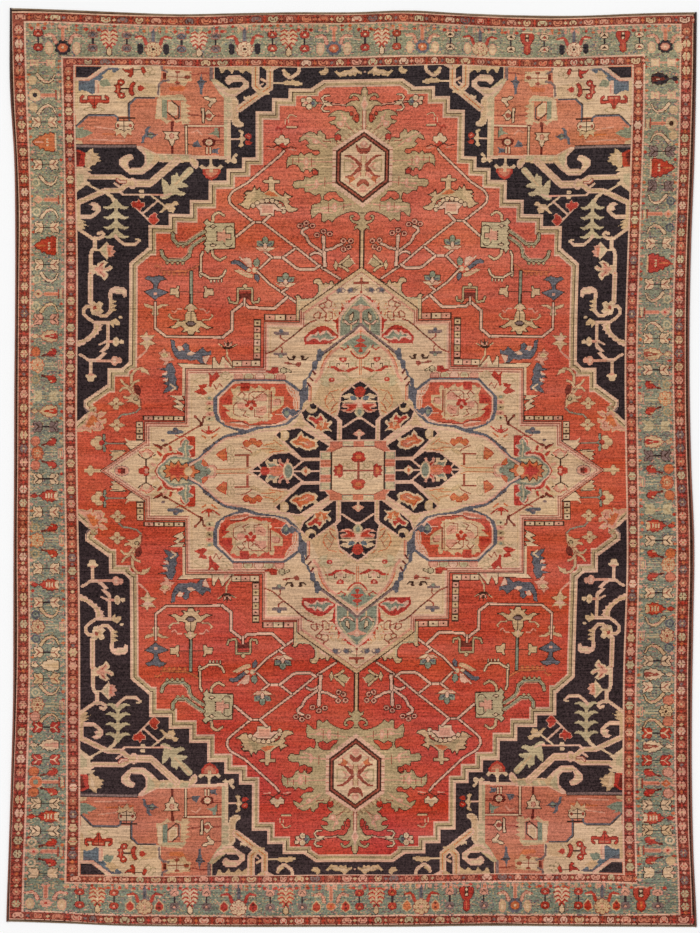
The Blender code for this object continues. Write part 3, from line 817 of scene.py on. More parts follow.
    # ivory centre
    A("ivory", "361,447.8 343,447.8 332.8,453 332.8,471 361,471")
    L("umber", "332.3,453 332.3,471", 0.9)
    A("crimson", "352,459 354,456.5 353.8,454.5 357,452.3 361,452 361,462 357,462.3 353.5,461.5", "brick", 0.6)
    A("orange", "356,456 361,454.5 361,458.5 357.5,459.5")
    A("crimson", "334,471 336,468.8 334.8,466.5 339,465.8 340.3,464 343.3,465.5 343.5,471", "brick", 0.6)
    A("orange", "337.5,471 338.5,467.5 341.5,467.3 341.5,471")
    L("brick", "360,462 360,471", 3)
    L("brick", "344,471 360,471", 1.5)
    L("olive", "344.8,467 344,463.5 346.5,462 350.5,462.3 354.5,464.3", 1.1)
    L("olive", "350.8,464.3 348,465 347.6,467.8 350.5,468.6 353.5,467", 1.1)
    L("olive", "353,463.5 353.5,468.5 357,470", 1)
    L("camel", "346,464.5 349,463.5", 1)


# The red field's stepped edge in this quarter
STEPS = ("405,79.5 320,79.5 307,88 285,88 285,98 269,98 269,112 253,112 253,158 240,158 240,169 225,169 "
    "225,181 207,181 207,200 188.5,200 188.5,214.5 168,214.5 168,226 147.5,226 147.5,248 128.5,263.5 128.5,362 "
    "121,369 107,369 107,385 84,401 84,408 88.5,412 60,437 60,520 405,520")


def corner_piece(c):
    """Salmon and ivory piece in the field's corner, with its small flowers."""
    A, L, O, B = c.area, c.line, c.oval, c.box
    A("salmon", "76,66 212,66 213,80 226,92 226,158 153,156 137,147 76,147.5")
    # ivory ground at the upper left, with its grey and green corner
    A("ivory", "104,66 161,66 160,98 136,98.5 129,105 129,118 118,118 114.5,115.5 90,115.5 78,126 76,94")
    A("camel", "128,82 156,86 157,97 136,98 126,103 116,101 126,92")
    A("slate", "80,83 89,81 100,73 108,69 122,69.5 119,72 109,73 104,78 97,83 97,88 94,96 89,93 80,91")
    A("blue", "80,87 90,84 103,74 119,71 116,74 108,76 101,82 96,86 96,95 88,92 80,94")
    A("teal", "101,82 108,80 111,84 112,87.5 104,88 101,86")
    A("camel", "103,77 107,74 109,71.5 113,71 114,75 119,75 114,78 110,81 106,79.5")
    A("camel", "79,93 85,91.5 88,94 91,98 83,100 79,99")
    A("camel", "76,80 80,81 80.5,108 76,112")
    L("peach", "98,83 98,97", 3.6)
    L("rose", "99.5,86 99.5,94", 1.2)
    A("navy", "78,68.5 103.5,68.5 89,79 78,79.5")
    L("peach", "76,80.8 90,80.3 108,68.3", 3)
    L("rose", "82,81.8 91,81.5 100,75.5", 1)
    # crimson butterfly over an ivory diamond
    A("crimson", "89.5,97.5 95,96.8 103,97.5 103,103.5 99,104.5 97.5,107.5 98.5,110 95.5,112 92.5,110 94,107 "
        "92,104.5 89.5,103.5", "wine", 0.8)
    L("crimson", "90,102.8 83.2,103 82.8,100 84.5,98", 2.2, None, "wine", 0.7)
    L("crimson", "102,102.8 109.2,103 109.2,99.8 107,98", 2.2, None, "wine", 0.7)
    L("salmon", "92,99.5 100.5,99.5", 1.5)
    L("wine", "96,98 96,109", 0.8)
    A("ivory", "85,111 92,108.2 96,111 100,108.2 106,110.8 102,113 97,114.5 92,113.5", "olive", 0.9)
    # crimson scrolls with an arrow
    A("crimson", "115,86.5 118,85.5 118.5,82 121,80.3 124.5,81.5 125.5,84.5 123,87 121,86.5 121,88.5 122.5,90 "
        "121,92 121,93.5 125,94.5 126,97.5 123.5,100 119.5,99 118.5,95.5 115.5,93 117.5,90", "wine", 0.8)
    L("salmon", "118.5,87 118.8,91 119,94", 1.4)
    O("ivory", 121.8, 84.3, 1)
    O("ivory", 122.5, 96.6, 1)
    L("umber", "123,90 130,90", 1.2)
    A("crimson", "129.5,90 131,85.5 134,83 136.3,84.5 133.5,89 133.5,91.5 135,95.5 133,97.5 130,95", "wine",
        0.8)
    A("crimson", "138,88 141,86.5 145.5,89.5 142,92.5 138.5,92")
    A("ivory", "138,82 141,84.5 137.5,88 137.5,91.5 142,96.5 139.5,97.8 135.3,91 135.5,87", "olive", 0.7)
    # half flower under the end border
    A("crimson", "123,70 128,71.5 133.5,69.5 134,75.5 131.5,79 128.5,77.5 130.5,74.5 126,73.5", "wine", 0.7)
    L("umber", "133,71.3 142,71.3", 1)
    A("crimson", "141,69 144,68.5 146,72.5 147.5,76 144,76 142,73", "wine", 0.7)
    O("ivory", 147.3, 76, 2.1, 2, "olive", 0.8)
    O("ivory", 152.5, 73.5, 2.2, 2.2, "olive", 0.8)
    O("ivory", 150, 70.5, 1.8, 1.5, "olive", 0.8)
    # salmon panels with a dark edge
    A("salmon", "136,100 154,100 155.5,121 130.8,121 130.8,106")
    A("salmon", "76,128 90,117 115,117 118.5,120 118,124 136,130 138,146.5 76,147")
    L("slate", "76,129.6 90,116.4 115,116.4 118.5,118.5 118.5,123.5", 2)
    L("umber", "76,128.6 90,115.4 115,115.4", 0.8)
    L("slate", "154,99.3 136,99.3 130,105.3 130,121", 2)
    L("umber", "154,98.4 135.6,98.4 129,104.8 129,121", 0.8)
    A("teal", "76,127 80,129.5 86,128 84,131 89,131.5 94,134.3 88,137.5 82,139.5 76,139")
    A("camel", "76,140.5 83,142.5 84.5,146.5 76,146.5")
    L("rose", "96,128 118,131", 1.4)
    L("rose", "92,141 124,142", 1.6)
    L("orange", "104,135 132,137", 1.8)
    # ivory flower with eyes
    A("camel", "118,129 113.5,131.5 116.5,133 116,137.5 120.5,134.5 125,140.5 128,134.5 131.5,137 131.5,132.5 "
        "135.5,130 131,128", "brick", 0.6)
    A("ivory", "118,122 132,122 134.5,125.5 133,130 128,130.5 124.5,132.5 121.5,130.5 117,130 115.5,126",
        "umber", 0.7)
    L("umber", "120,119.3 135,119.3", 1.7)
    L("umber", "124.7,121 124.7,131.5", 1)
    L("umber", "118.5,127.3 131.5,127.3", 0.9)
    for x in (118.5, 131):
        O("brick", x, 127, 1.6, 1.7)
    # grey bird-like twig
    A("slate", "141,144.5 142,138 145,134.5 145,130.5 148,127.5 152,127.3 149,130 148,134 151,133 153,134.5 "
        "157.5,135.5 154,138 151.5,140.5 148.5,138.5 145,138.5 144,144")
    O("teal", 150.5, 136.5, 2.2, 1.8)
    L("umber", "147,136 156,136", 0.8)
    # camel ring with a saw-toothed back, and the pane inside
    A("camel", "157,100 161,96.8 170,95.8 181,95 184.5,97.5 186.5,101 184.5,103.5 190.5,106.5 185,108.5 "
        "190,111.5 185.5,113 190,116.5 185.5,117.5 190.5,121 187,122.5 191,125.5 182,126 181,121.5 175.5,123.5 "
        "173,120.5 170,122 166.5,125 163.5,122.5 160,120 155,120.5")
    A("salmon", "161.5,98.5 180,98.5 183,102 183,117 178,120.5 168,121 162,118")
    A("teal", "161.8,99 166.5,99 166.5,119.5 161.8,118")
    L("sage", "162,99.8 183.5,99.8", 2.2)
    A("camel", "180,101.5 184,103 184,118 180.5,119")
    A("ivory", "167.5,102.5 172.5,102.5 176.8,107 176.8,115.5 173,117 167.5,112")
    A("camel", "169,104.5 172,104.5 175,107.5 175,113 171,113.5 169,111")
    L("umber", "171.5,101.8 178.3,107.3 178.3,118.5 175,119.3 167,113.3", 1.3)
    L("mauve", "179,107 179,118", 1.5)
    A("ivory", "157,101 161,98.5 161,118 157,117")
    # ivory panel with a cross of buds at the top, and its grey outline
    A("camel", "165.5,70 190,71.5 191,81 187,82 184,87 180,85 166.5,84")
    A("ivory", "168,72 184,73 186,79 176,81 168,80")
    L("brick", "167,77.7 185,77.7", 1)
    L("brick", "176.7,72 176.7,84", 1)
    O("brick", 176.7, 72.5, 2.6, 1.4)
    O("brick", 176.7, 83.3, 2.8, 1.5)
    O("brick", 186.5, 77.5, 3, 2)
    B("wine", 163, 74.3, 165.8, 79.5)
    L("mauve", "161,67 162,71 166.5,73", 2.2)
    L("mauve", "168,81.3 162,82.3 158.6,86 158.3,95.5", 2.4)
    L("brick", "189,73 193,75 200,73.3 212,73.3", 1.1)
    A("orange", "168,88 186,86 182,92 170,92")
    A("slate", "195.5,81.5 198.5,80 199.8,73 201.5,79.5 205.5,81.3 203,84 201.8,87 201.3,95 198.5,94 198.3,86")
    L("umber", "196,81.7 205,81.7", 0.7)
    # right hand side: arrow, barred bud, line of ivory and the lower panel
    L("brick", "214,101.2 223,101.3", 1.3)
    A("ivory", "201.5,97 206,96 209.5,98.3 214.5,98 215,101.5 210.5,104.8 209.3,108 206.5,105.5 209.3,101.3 "
        "204.5,99.8", "umber", 0.7)
    L("brick", "187.5,114.5 200,115.7", 1.6)
    L("brick", "213,116 223,116.3", 1.3)
    A("ivory", "200.3,108 203.5,107.7 203.5,123 200.8,122.5", "umber", 0.9)
    A("ivory", "204.5,112 207,109.5 210,112 211.5,114.5 214.5,115.8 211.5,117 210,120.5 207,121 204.5,118.5",
        "umber", 0.8)
    A("brick", "205,114 209,113.5 211,115.7 208.5,118.3 205,117.5")
    L("ivory", "184,126.2 224,126.2", 1.9, None, "brick", 1)
    L("ivory", "185.3,127 185.3,154", 2, None, "umber", 1)
    A("teal", "216.5,127.5 217.5,138.5 214,135 206.5,134.3 212.5,131.5 213.5,128")
    L("umber", "217.8,128 217.8,138.5", 0.8)
    L("rose", "191,132.5 196,130 201,135", 1.2)
    A("slate", "190.5,146.5 192.5,142.5 197,140 198,143.5 200.5,147.3")
    L("umber", "187,144.5 195,144.8", 0.9)
    A("wine", "200.5,141 202.5,138.3 206,138.8 208,137 211,138.8 214.5,139.5 214,144 211,146.5 205,146.5 "
        "201.5,144.5")
    O("ivory", 207.6, 142.3, 3.4, 2.8)
    O("rose", 207.6, 142.3, 1.8, 1.5)
    for x in (205.3, 208.8):
        L("ivory", [(x, 147.5), (x, 153.5)], 1.3, None, "wine", 0.7)
    A("slate", "211,149 218,148 216,150.5 217,153.5 210,153")
    L("brick", "215,140.3 223,140.3", 0.9)
    L("brick", "215,142.7 223,142.7", 0.9)
    # heart-shaped ivory flower on a dark stem
    L("wine", "172,123 171.3,133", 2.8)
    L("wine", "171.3,145 171.3,153.5", 3)
    A("ivory", "162.5,132.5 179,132.5 176.8,135.3 178.5,139 173.8,141.3 173.5,144.5 171.3,147.5 169,144.5 "
        "168.3,141.3 164,139.5 165.3,135.3", "umber", 0.9)
    O("rose", 171.3, 136.8, 1.9, 2.3, "brick", 0.7)
    # frame of the piece on the right
    L("mauve", "209.7,66 209.7,79.5", 3.4)
    L("ivory", "212.8,66 212.8,80", 1.2)
    A("sage", "209,79 214.5,79 229.5,91 229.5,100 226.5,100 226,157 222,157 222,98 216,91")
    A("ivory", "226,119 229.3,119 229.3,160 226,160")
    L("camel", "214,80.5 229,92.5", 1.4)


def spandrel(c):
    """Scrolling vines on the dark ground beside the corner piece."""
    A, L, O, B = c.area, c.line, c.oval, c.box
    B("mauve", 76, 145.8, 136, 148.4)
    L("umber", "76,145.5 136,145.5", 1)
    # lower edge band of the corner piece, and its scroll
    A("peach", "136,146.8 142,147.5 156,154.5 190,154.3 190,158 162,163.5 158,162.3 150,170 141.8,175.7 "
        "129,175.3 119.3,166.5 119.3,160.5 125,156.3 131.5,155.2 133.8,159.5 129,162.5 127.5,166 129.5,169.3 "
        "140.8,169 143.8,165 144.5,157.5 141,153 137.5,150.5")
    A("ivory", "121,161 126,157.5 131,156.7 132.3,159 127.5,161.5 126,166 129,170.8 141.5,170.7 145.5,166 "
        "149,159 152,162 149,169 141.3,174 129.8,173.8 121,166")
    A("camel", "122.5,163.5 125.5,165 128.5,171.5 139,172.3 137,173 129,172.8")
    A("camel", "142,149 156,156 160,161 153,166 147,161 146,155.5")
    A("sage", "144.5,151 154,156.5 152,162 146.5,166.5 146,158")
    A("camel", "156,155.8 190,155.6 190,162.3 176,162.8 160,162.5")
    for x, w in ((157, 5), (165, 6), (178, 9)):
        A("sage", [(x, 155.5), (x + w, 155.5), (x + w + 3, 160.5), (x + 3, 160.5)])
    for x in (163, 173.5):
        L("ivory", [(x, 155.5), (x + 4.5, 161)], 1.5)
    A("peach", "188,154.5 192,155.5 229,156 229,159.3 194,159 197.3,162 197.5,166 195,168.8 192,167.8 "
        "188.5,162.8")
    A("camel", "190,157 194.5,160.5 196,165 193.5,166.5 189,161")
    L("ivory", "196,157.3 228,157.6", 1.4)
    # double vine from the band down to its knot, and the two branches to the left edge
    for yarn, width in (("peach", 7), ("camel", 4.2), ("peach", 1.2)):
        L(yarn, "176,161 149.5,184.3 130,184.5", width)
    for yarn, width in (("peach", 5.4), ("camel", 2.8)):
        L(yarn, "80,169 90.5,178.3 120.5,178.3 130,184 124,187.5 119,191.5 105,191.7 77,204.5", width)
        O(yarn, 131.8, 184.5, width * 0.85, width)
    L("peach", "125,183 119.5,183.2 117,180.6", 1.8, None, "brick", 0.7)
    L("peach", "119.5,188 114.5,184.5", 2.2)
    # leaves at the left edge
    A("crimson", "76,151 81,151.8 86,154.5 85.3,166 84,168.3 76,168")
    A("wine", "76,153 80,153.5 82,156 79,166.5 76,166.5")
    A("camel", "86,154.5 88.5,153 91,150.5 93.5,149.8 94,154 98.5,155 96.8,156.8 100.5,158.3 98.5,159.8 "
        "102,162.3 97,163.3 96,165.8 91.5,166.8 90,169.3 85.3,168")
    A("ivory", "87.5,157 92,153 91,161 88,166")
    A("ivory", "76,169.3 83,169 90,169.3 92.5,171.8 87,172.8 90,178 86.3,181.5 91.5,184.8 87,186 80,191 76,194")
    A("sage", "76,174 84,176 84,183 76,190")
    L("ivory", "88,185.8 101,192.5", 2.2)
    # sprig with crimson flowers over the steps
    L("peach", "119,192 122.5,195.5 163,195.8", 2.1)
    L("rose", "150,195.8 163,195.8", 1.2)
    for y in (192.3, 197.2):
        O("ivory", 141.2, y, 2.6, 2)
    L("ivory", "150.5,196.5 165,207.5", 1.8)
    L("peach", "157.5,201.3 142,214.3", 2.1)
    L("peach", "135.5,209 149,222", 2.1)
    A("crimson", "130.5,204.5 133,202.3 136,203 138,200.5 140.5,203.5 144,203.5 143.8,207 141,209 139,212.5 "
        "136,209.5 132,208", "rose", 0.6)
    A("crimson", "147,220.5 149,217 151,215.3 154,213.5 156.3,215 155.3,217.5 158.5,221 155.5,224 153.5,226.3 "
        "150.5,224.8", "rose", 0.6)
    A("camel", "158,213 161,213.8 163.5,211 166.5,210 168,212.8 172.8,213 174.5,208.5 172,207.3 174,205.8 "
        "177.8,205 176,201.3 173,201.8 170.5,204.3 165,204.3 162.5,207.5 161.5,210")
    A("ivory", "164,206.5 171,205.5 175,203.5 170,208.5 165,209.5")
    # large sage leaf
    A("sage", "161,179 164.5,181 169.3,187.3 170.3,182 170.5,176.5 174.3,175.3 176,172 177.8,178 184,170.3 "
        "188,166.8 191.5,168 192.2,172 186,178 180.5,182.3 185,184.3 187.5,186.5 182,187.8 175.8,188.3 "
        "179,191.3 184.8,193.3 183,195.3 180,196.3 175,194.8 171.5,195.5 166,199.3 161.5,200.3 159.5,198.5 "
        "163,195.5 161.5,190")
    L("camel", "190,169.5 174,185", 1.8)
    L("peach", "160,197.5 170,194.3", 1.6)
    # pendant at the foot of the band
    L("ivory", "209.6,158 209.6,166", 2.6)
    A("crimson", "201,168.5 219.3,168.5 219,172.5 215,177.3 210,180.3 205,178 201,173")
    A("salmon", "203.5,170 216.8,170 215.5,173.5 210,177.5 205,174.5")
    A("ivory", "197.5,166.5 200.5,164.8 204,167 207,166.5 208,164 211.3,164 212.3,166.5 216,167 219,164.5 "
        "221.5,166.8 218.5,169.3 211.5,168.8 211.3,172.3 208,172.3 207.8,168.8 201,169.3")
    O("camel", 209.6, 170.3, 1.4, 1.6)
    # conifer and its curling root
    L("ivory", "104,192.5 111,197.5 115.5,204", 3, 4)
    L("sage", "115.6,202 115.6,238", 3.8)
    L("camel", "115.3,206 115.3,236", 1)
    for y in (205, 215, 225, 234):
        for s in (-1, 1):
            A("sage", [(115.6, y - 5), (115.6 + 3.5 * s, y - 1), (115.6 + 8 * s, y + 2.6),
                (115.6 + 13 * s, y + 2.4), (115.6 + 12 * s, y + 4), (115.6 + 8 * s, y + 5.6),
                (115.6 + 4 * s, y + 4.6), (115.6, y + 3)])
    L("peach", "114.5,237 118.5,241.5 124,245.3 134,245.3 138.7,241.3", 3.2, 2.6)
    L("ivory", "118.5,241.5 124,245.3 134,245.3", 1.2)
    L("ivory", "139,241.8 137.5,239.8 135,240.3", 1.6)
    # hooked branch at the left edge
    B("camel", 76, 202, 80.5, 231)
    L("peach", "79.8,203 79.8,216", 1.2)
    A("peach", "88.5,205.5 92,203.5 97,203.8 100.3,207.5 100.5,212 95.5,217 91,219.8 80.5,219.8 80.5,216 "
        "90,216 93.5,213.8 95.3,212 91.5,210.5 92.8,207.3")
    A("ivory", "93.5,205.5 97,206 98.8,209 98.3,212 94,216.3 90,218.2 82,218.2 82,217.3 90,217.3 96,212.5 "
        "94.5,209")
    A("camel", "80,220 83,222 87,223.5 82.5,223.8 88,227.3 82.5,226.8 85,229.8 78,231.5")
    for yarn, width in (("peach", 3.2), ("ivory", 1.3)):
        L(yarn, "77,229.5 83,233.5 91.5,239.3 98,239.5 102,237.5 103,235 101,233.5 97.5,234.5", width)
        L(yarn, "94.3,239 94.3,249 91,252 90,256 90,272", width + 0.5)
    L("ivory", "94,251 99,251", 1.8)
    # flowers hanging down the edge
    A("ivory", "97.5,251 106,242.3 108.5,246 109,256 106,260.8")
    A("sage", "100,251 105.5,245.5 106,257.5")
    A("rose", "106.5,245.3 113,247.3 111.5,249.8 114.5,252.3 112,254.8 113.5,257.3 107,257.5")
    A("salmon", "107,248 110.5,249 109,252.5 111,255.5 107,256")
    A("ivory", "90.5,265.3 96,266.8 97,263.8 100,262.8 103,261.3 107.3,263.3 103.5,267.3 104.5,268.8 109,266.3 "
        "112,267.8 109.5,271.3 105,272.5 107.5,275 106.5,278.3 103,281.3 100,277 96.5,276.3 95,273.8 92,275.3 "
        "90,273")
    A("rose", "94,268.5 98,267.5 99,264.5 103,263 101.5,267.5 103,270 101.5,272.5 105.3,275.5 103,279 "
        "101,275.5 97.5,275 96,271.8 93,271.5")
    L("rose", "103.5,270.3 109,268.5", 1.2)
    L("brick", "98,268 102.5,264", 0.8)
    L("brick", "99,272.5 103,277.5", 0.8)
    for yarn, width in (("peach", 4.6), ("orange", 2.4), ("camel", 1.8)):
        L(yarn, "89.6,275 89.6,303", width)
    A("ivory", "89.5,303 93,301.8 95.3,304.5 98,302 102.3,303.8 101.5,307 99.8,309 102.8,312 100.5,314.3 "
        "97,313 95,316.3 91,315.3 89.5,311")
    A("camel", "92,304.5 98,305 99.5,311 95,313.5")
    A("brick", "90.5,306.8 95,306 96,309.5 92.5,311")
    # large hook with a serrated back
    for yarn, width in (("peach", 3.6), ("camel", 1.5)):
        L(yarn, "91,307.3 86,307.3 82.7,310.3 83,315 87,319 94,323.5 110,323.5", width - 0.4)
        L(yarn, "96.5,314 101,316.8 105,316.8 109.3,312.5 109.7,308 109.3,294", width)
    A("peach", "107.3,295 108,290.5 113,287.5 122,287.7 125.7,291 125.3,297 123,298.7 121,295 115,294.5 "
        "112,293.5 111,296")
    A("ivory", "113,289.5 121,289.3 124,292 124,296 121,293 115,292.7")
    for y in (301, 305.3, 309.3):
        A("camel", [(110.5, y - 0.6), (116, y + 0.6), (114, y + 2.4), (110.5, y + 3)])
    A("camel", "108.5,322 112,320.3 115.5,319 118.7,322.5 119,326.3 116,325.5 113.3,325.3 112.8,328.3 "
        "110,325.3")
    O("ivory", 119.5, 318, 1.9, 1.4)
    # frond down to the edge, and the twigs under it
    A("peach", "93,321 97,323.5 102.5,326.5 100,328.3 101.3,331 98,331.7 98.3,335 95,335.5 94.5,338.7 91,338.7 "
        "89.5,342 86,342.3 84.5,345.5 81,345.7 79,348 76,347 76,341.7 83,340 91,333.5 93,329")
    A("camel", "94,324 99,327 97,330 96,333.5 91,337.5 84,342.5 76,345.5 76,343.3 85,339.8 93,333.5 94.5,329")
    for yarn, width in (("peach", 3.4), ("camel", 1.2)):
        L(yarn, "107,325 107,347 102.5,350.5", width)
        L(yarn, "79.5,355.7 83,357 88,361 99,361", width - 0.6)
        L(yarn, "90.6,362 90.6,376", width - 0.3)
    A("peach", "107,347 98.5,352 102,353.3 101,354.5 94.5,359.8 98.5,361.3 106.8,354 103,352.5 108.5,348.5")
    L("peach", "106,341.8 98.7,345.3", 2.6, 1.6)
    L("rose", "108,342 113,342.3", 2.2)
    O("ivory", 115.3, 342.3, 3.2, 4.5)
    O("ivory", 120.8, 342.5, 2.6, 2.1)
    O("camel", 115, 342.3, 1.4, 2.4)
    L("rose", "97,361.2 113,361.3", 2.4)
    O("rose", 114.3, 361.3, 3.7, 4.8)
    O("rose", 119, 361, 2.6, 3)
    O("peach", 114, 361, 1.5, 2.4)
    O("ivory", 90.6, 376.8, 5.6, 2.2)
    O("ivory", 90.6, 380, 3.4, 2.4)
    O("rose", 90.6, 375.3, 3.2, 1.3)


def spandrel_top(c):
    """Vines on the dark ground along the end border, from the corner piece to the axis."""
    A, L, O = c.area, c.line, c.oval
    # big scroll beside the corner piece, and the column under it
    A("camel", "217,66 218,70 219.5,73.3 222.5,72.5 222.8,70 227,70.3 230,74.5 232,70.5 236,70.8 240.5,74.3 "
        "243,71 247,73.3 250,76 250,66")
    A("peach", "213,83 219,86.8 226,88.8 237.5,88.3 241,85.5 240.5,83 238.5,82 230,82.9 227.7,85 225,84.3 "
        "223.3,81.5 223.8,78 227,75.8 237,75.5 240.3,77.5 246.3,82.8 246.3,88.3 239,93 233,97.3 228,97 222,94 "
        "215,88.5")
    A("ivory", "225,79 228,77.3 236,77 238.5,79 236,80.8 229,81.2 226.3,83")
    A("ivory", "240.5,80 245,84 244.8,87.3 238,91.5 232.5,95.3 228,94.8 219,90 224,90.3 238,90 242.5,86.5 "
        "242,83")
    A("camel", "222,91 238,91 232,94.5 227,94")
    A("ivory", "223,95 233,97 236.3,101 236.8,119 238.5,121.8 241.8,124 241.3,127 236,128 231,125 229.3,120 "
        "223,120")
    A("camel", "231,99 235,102 235,118 232,120 230.5,112")
    for y in (98, 105, 112):
        A("sage", [(223, y), (227, y - 1), (230, y + 2), (229, y + 5), (224, y + 5.5)])
    A("camel", "230,118 236,118 237,123 240,125.3 236,126.3 232,124")
    L("orange", "235.3,107 235.3,113", 1.4)
    # pair of stems rising into the end border
    for yarn, width in (("peach", 7), ("camel", 4.4), ("orange", 1)):
        L(yarn, "267,66 267,87.5 261,92 237,109.5", width)
        L(yarn, "253,66 253,86.5 259,92.5", width)
    A("camel", "255,89 261,93 266,89.5 265.3,92 267.3,94.5 262,95 256,97.5 254.3,94")
    L("peach", "268,70 276,66", 3)
    A("camel", "257,66 268,66 263.5,71")
    L("ivory", "259,79.8 262.3,81.8", 1.6, None, "rose", 0.5)
    L("peach", "256.5,86.3 260.5,84.3", 1.6)
    A("ivory", "241.3,96.3 244,97.8 247.5,96 248.8,99 245,99.5 241.8,100.3")
    # hook and arrow
    for yarn, width in (("peach", 3.4), ("ivory", 1.4)):
        L(yarn, "280.5,70.5 281.5,74.5 285.5,77.3 288.5,77 294,73 295.3,70 295.3,66", width)
    A("camel", "279,70 282.5,70.3 284.5,73 287,74 286,76.5 282.5,75")
    L("ivory", "271,83.2 281,83.4", 2.1)
    A("camel", "280,82 284,80 286.3,81.2 289,79.3 292,81 294.8,80.3 296,82.2 299.3,83 298.3,84.8 294,85.5 "
        "288,85.2 281,85")
    O("ivory", 297, 83.3, 1.8, 1)
    # small creatures under the end border
    A("camel", "314.3,71.3 317,70.8 319.3,69.5 321,67.5 323.5,69 323.8,72 321,74.8 317,74.8 315.5,73")
    A("camel", "329.8,71.8 332,70.8 335,73 337.3,71.8 341,70.3 344,71 347,68.8 350,67.8 353,70.8 357.3,73 "
        "356.3,75 352,73.5 350,76.8 347.5,75.2 345,77 343,74.8 341,76.8 338,76.2 335.5,77.3 332.5,75")
    A("ivory", "337,73.3 344,72.3 350,69.3 352,72 346,73.8 339,75")
    A("peach", "344,66 352,66 349,68.5")
    A("peach", "358.5,73 361,69.5 361,74")
    # flowers beside the corner piece
    L("peach", "230,139.2 238,139.2", 1.9)
    A("camel", "236,131 238.3,129.8 241.3,132 241,137 244,139.3 241,142 241.3,146 239,147.8 236,146.3 "
        "238.5,143 237.8,140.3 236,139.3 237.8,137.5 238.8,134")
    L("ivory", "240,133 239.5,145", 1.4)
    A("crimson", "242.5,136 246,133.8 249.3,135.5 248.8,139 247,140 244,138.8")
    A("crimson", "243,141 247,141 249.8,143.3 247.5,145.5 243.3,144.8")
    L("rose", "245,136.3 247.3,137.3", 1)
    A("ivory", "222.5,161.3 226,159.3 229.8,160 230.5,157 234.3,153.3 236,155.5 232.8,158 235.3,160 234.3,164 "
        "231,163.3 229,161.8 226,163.5")


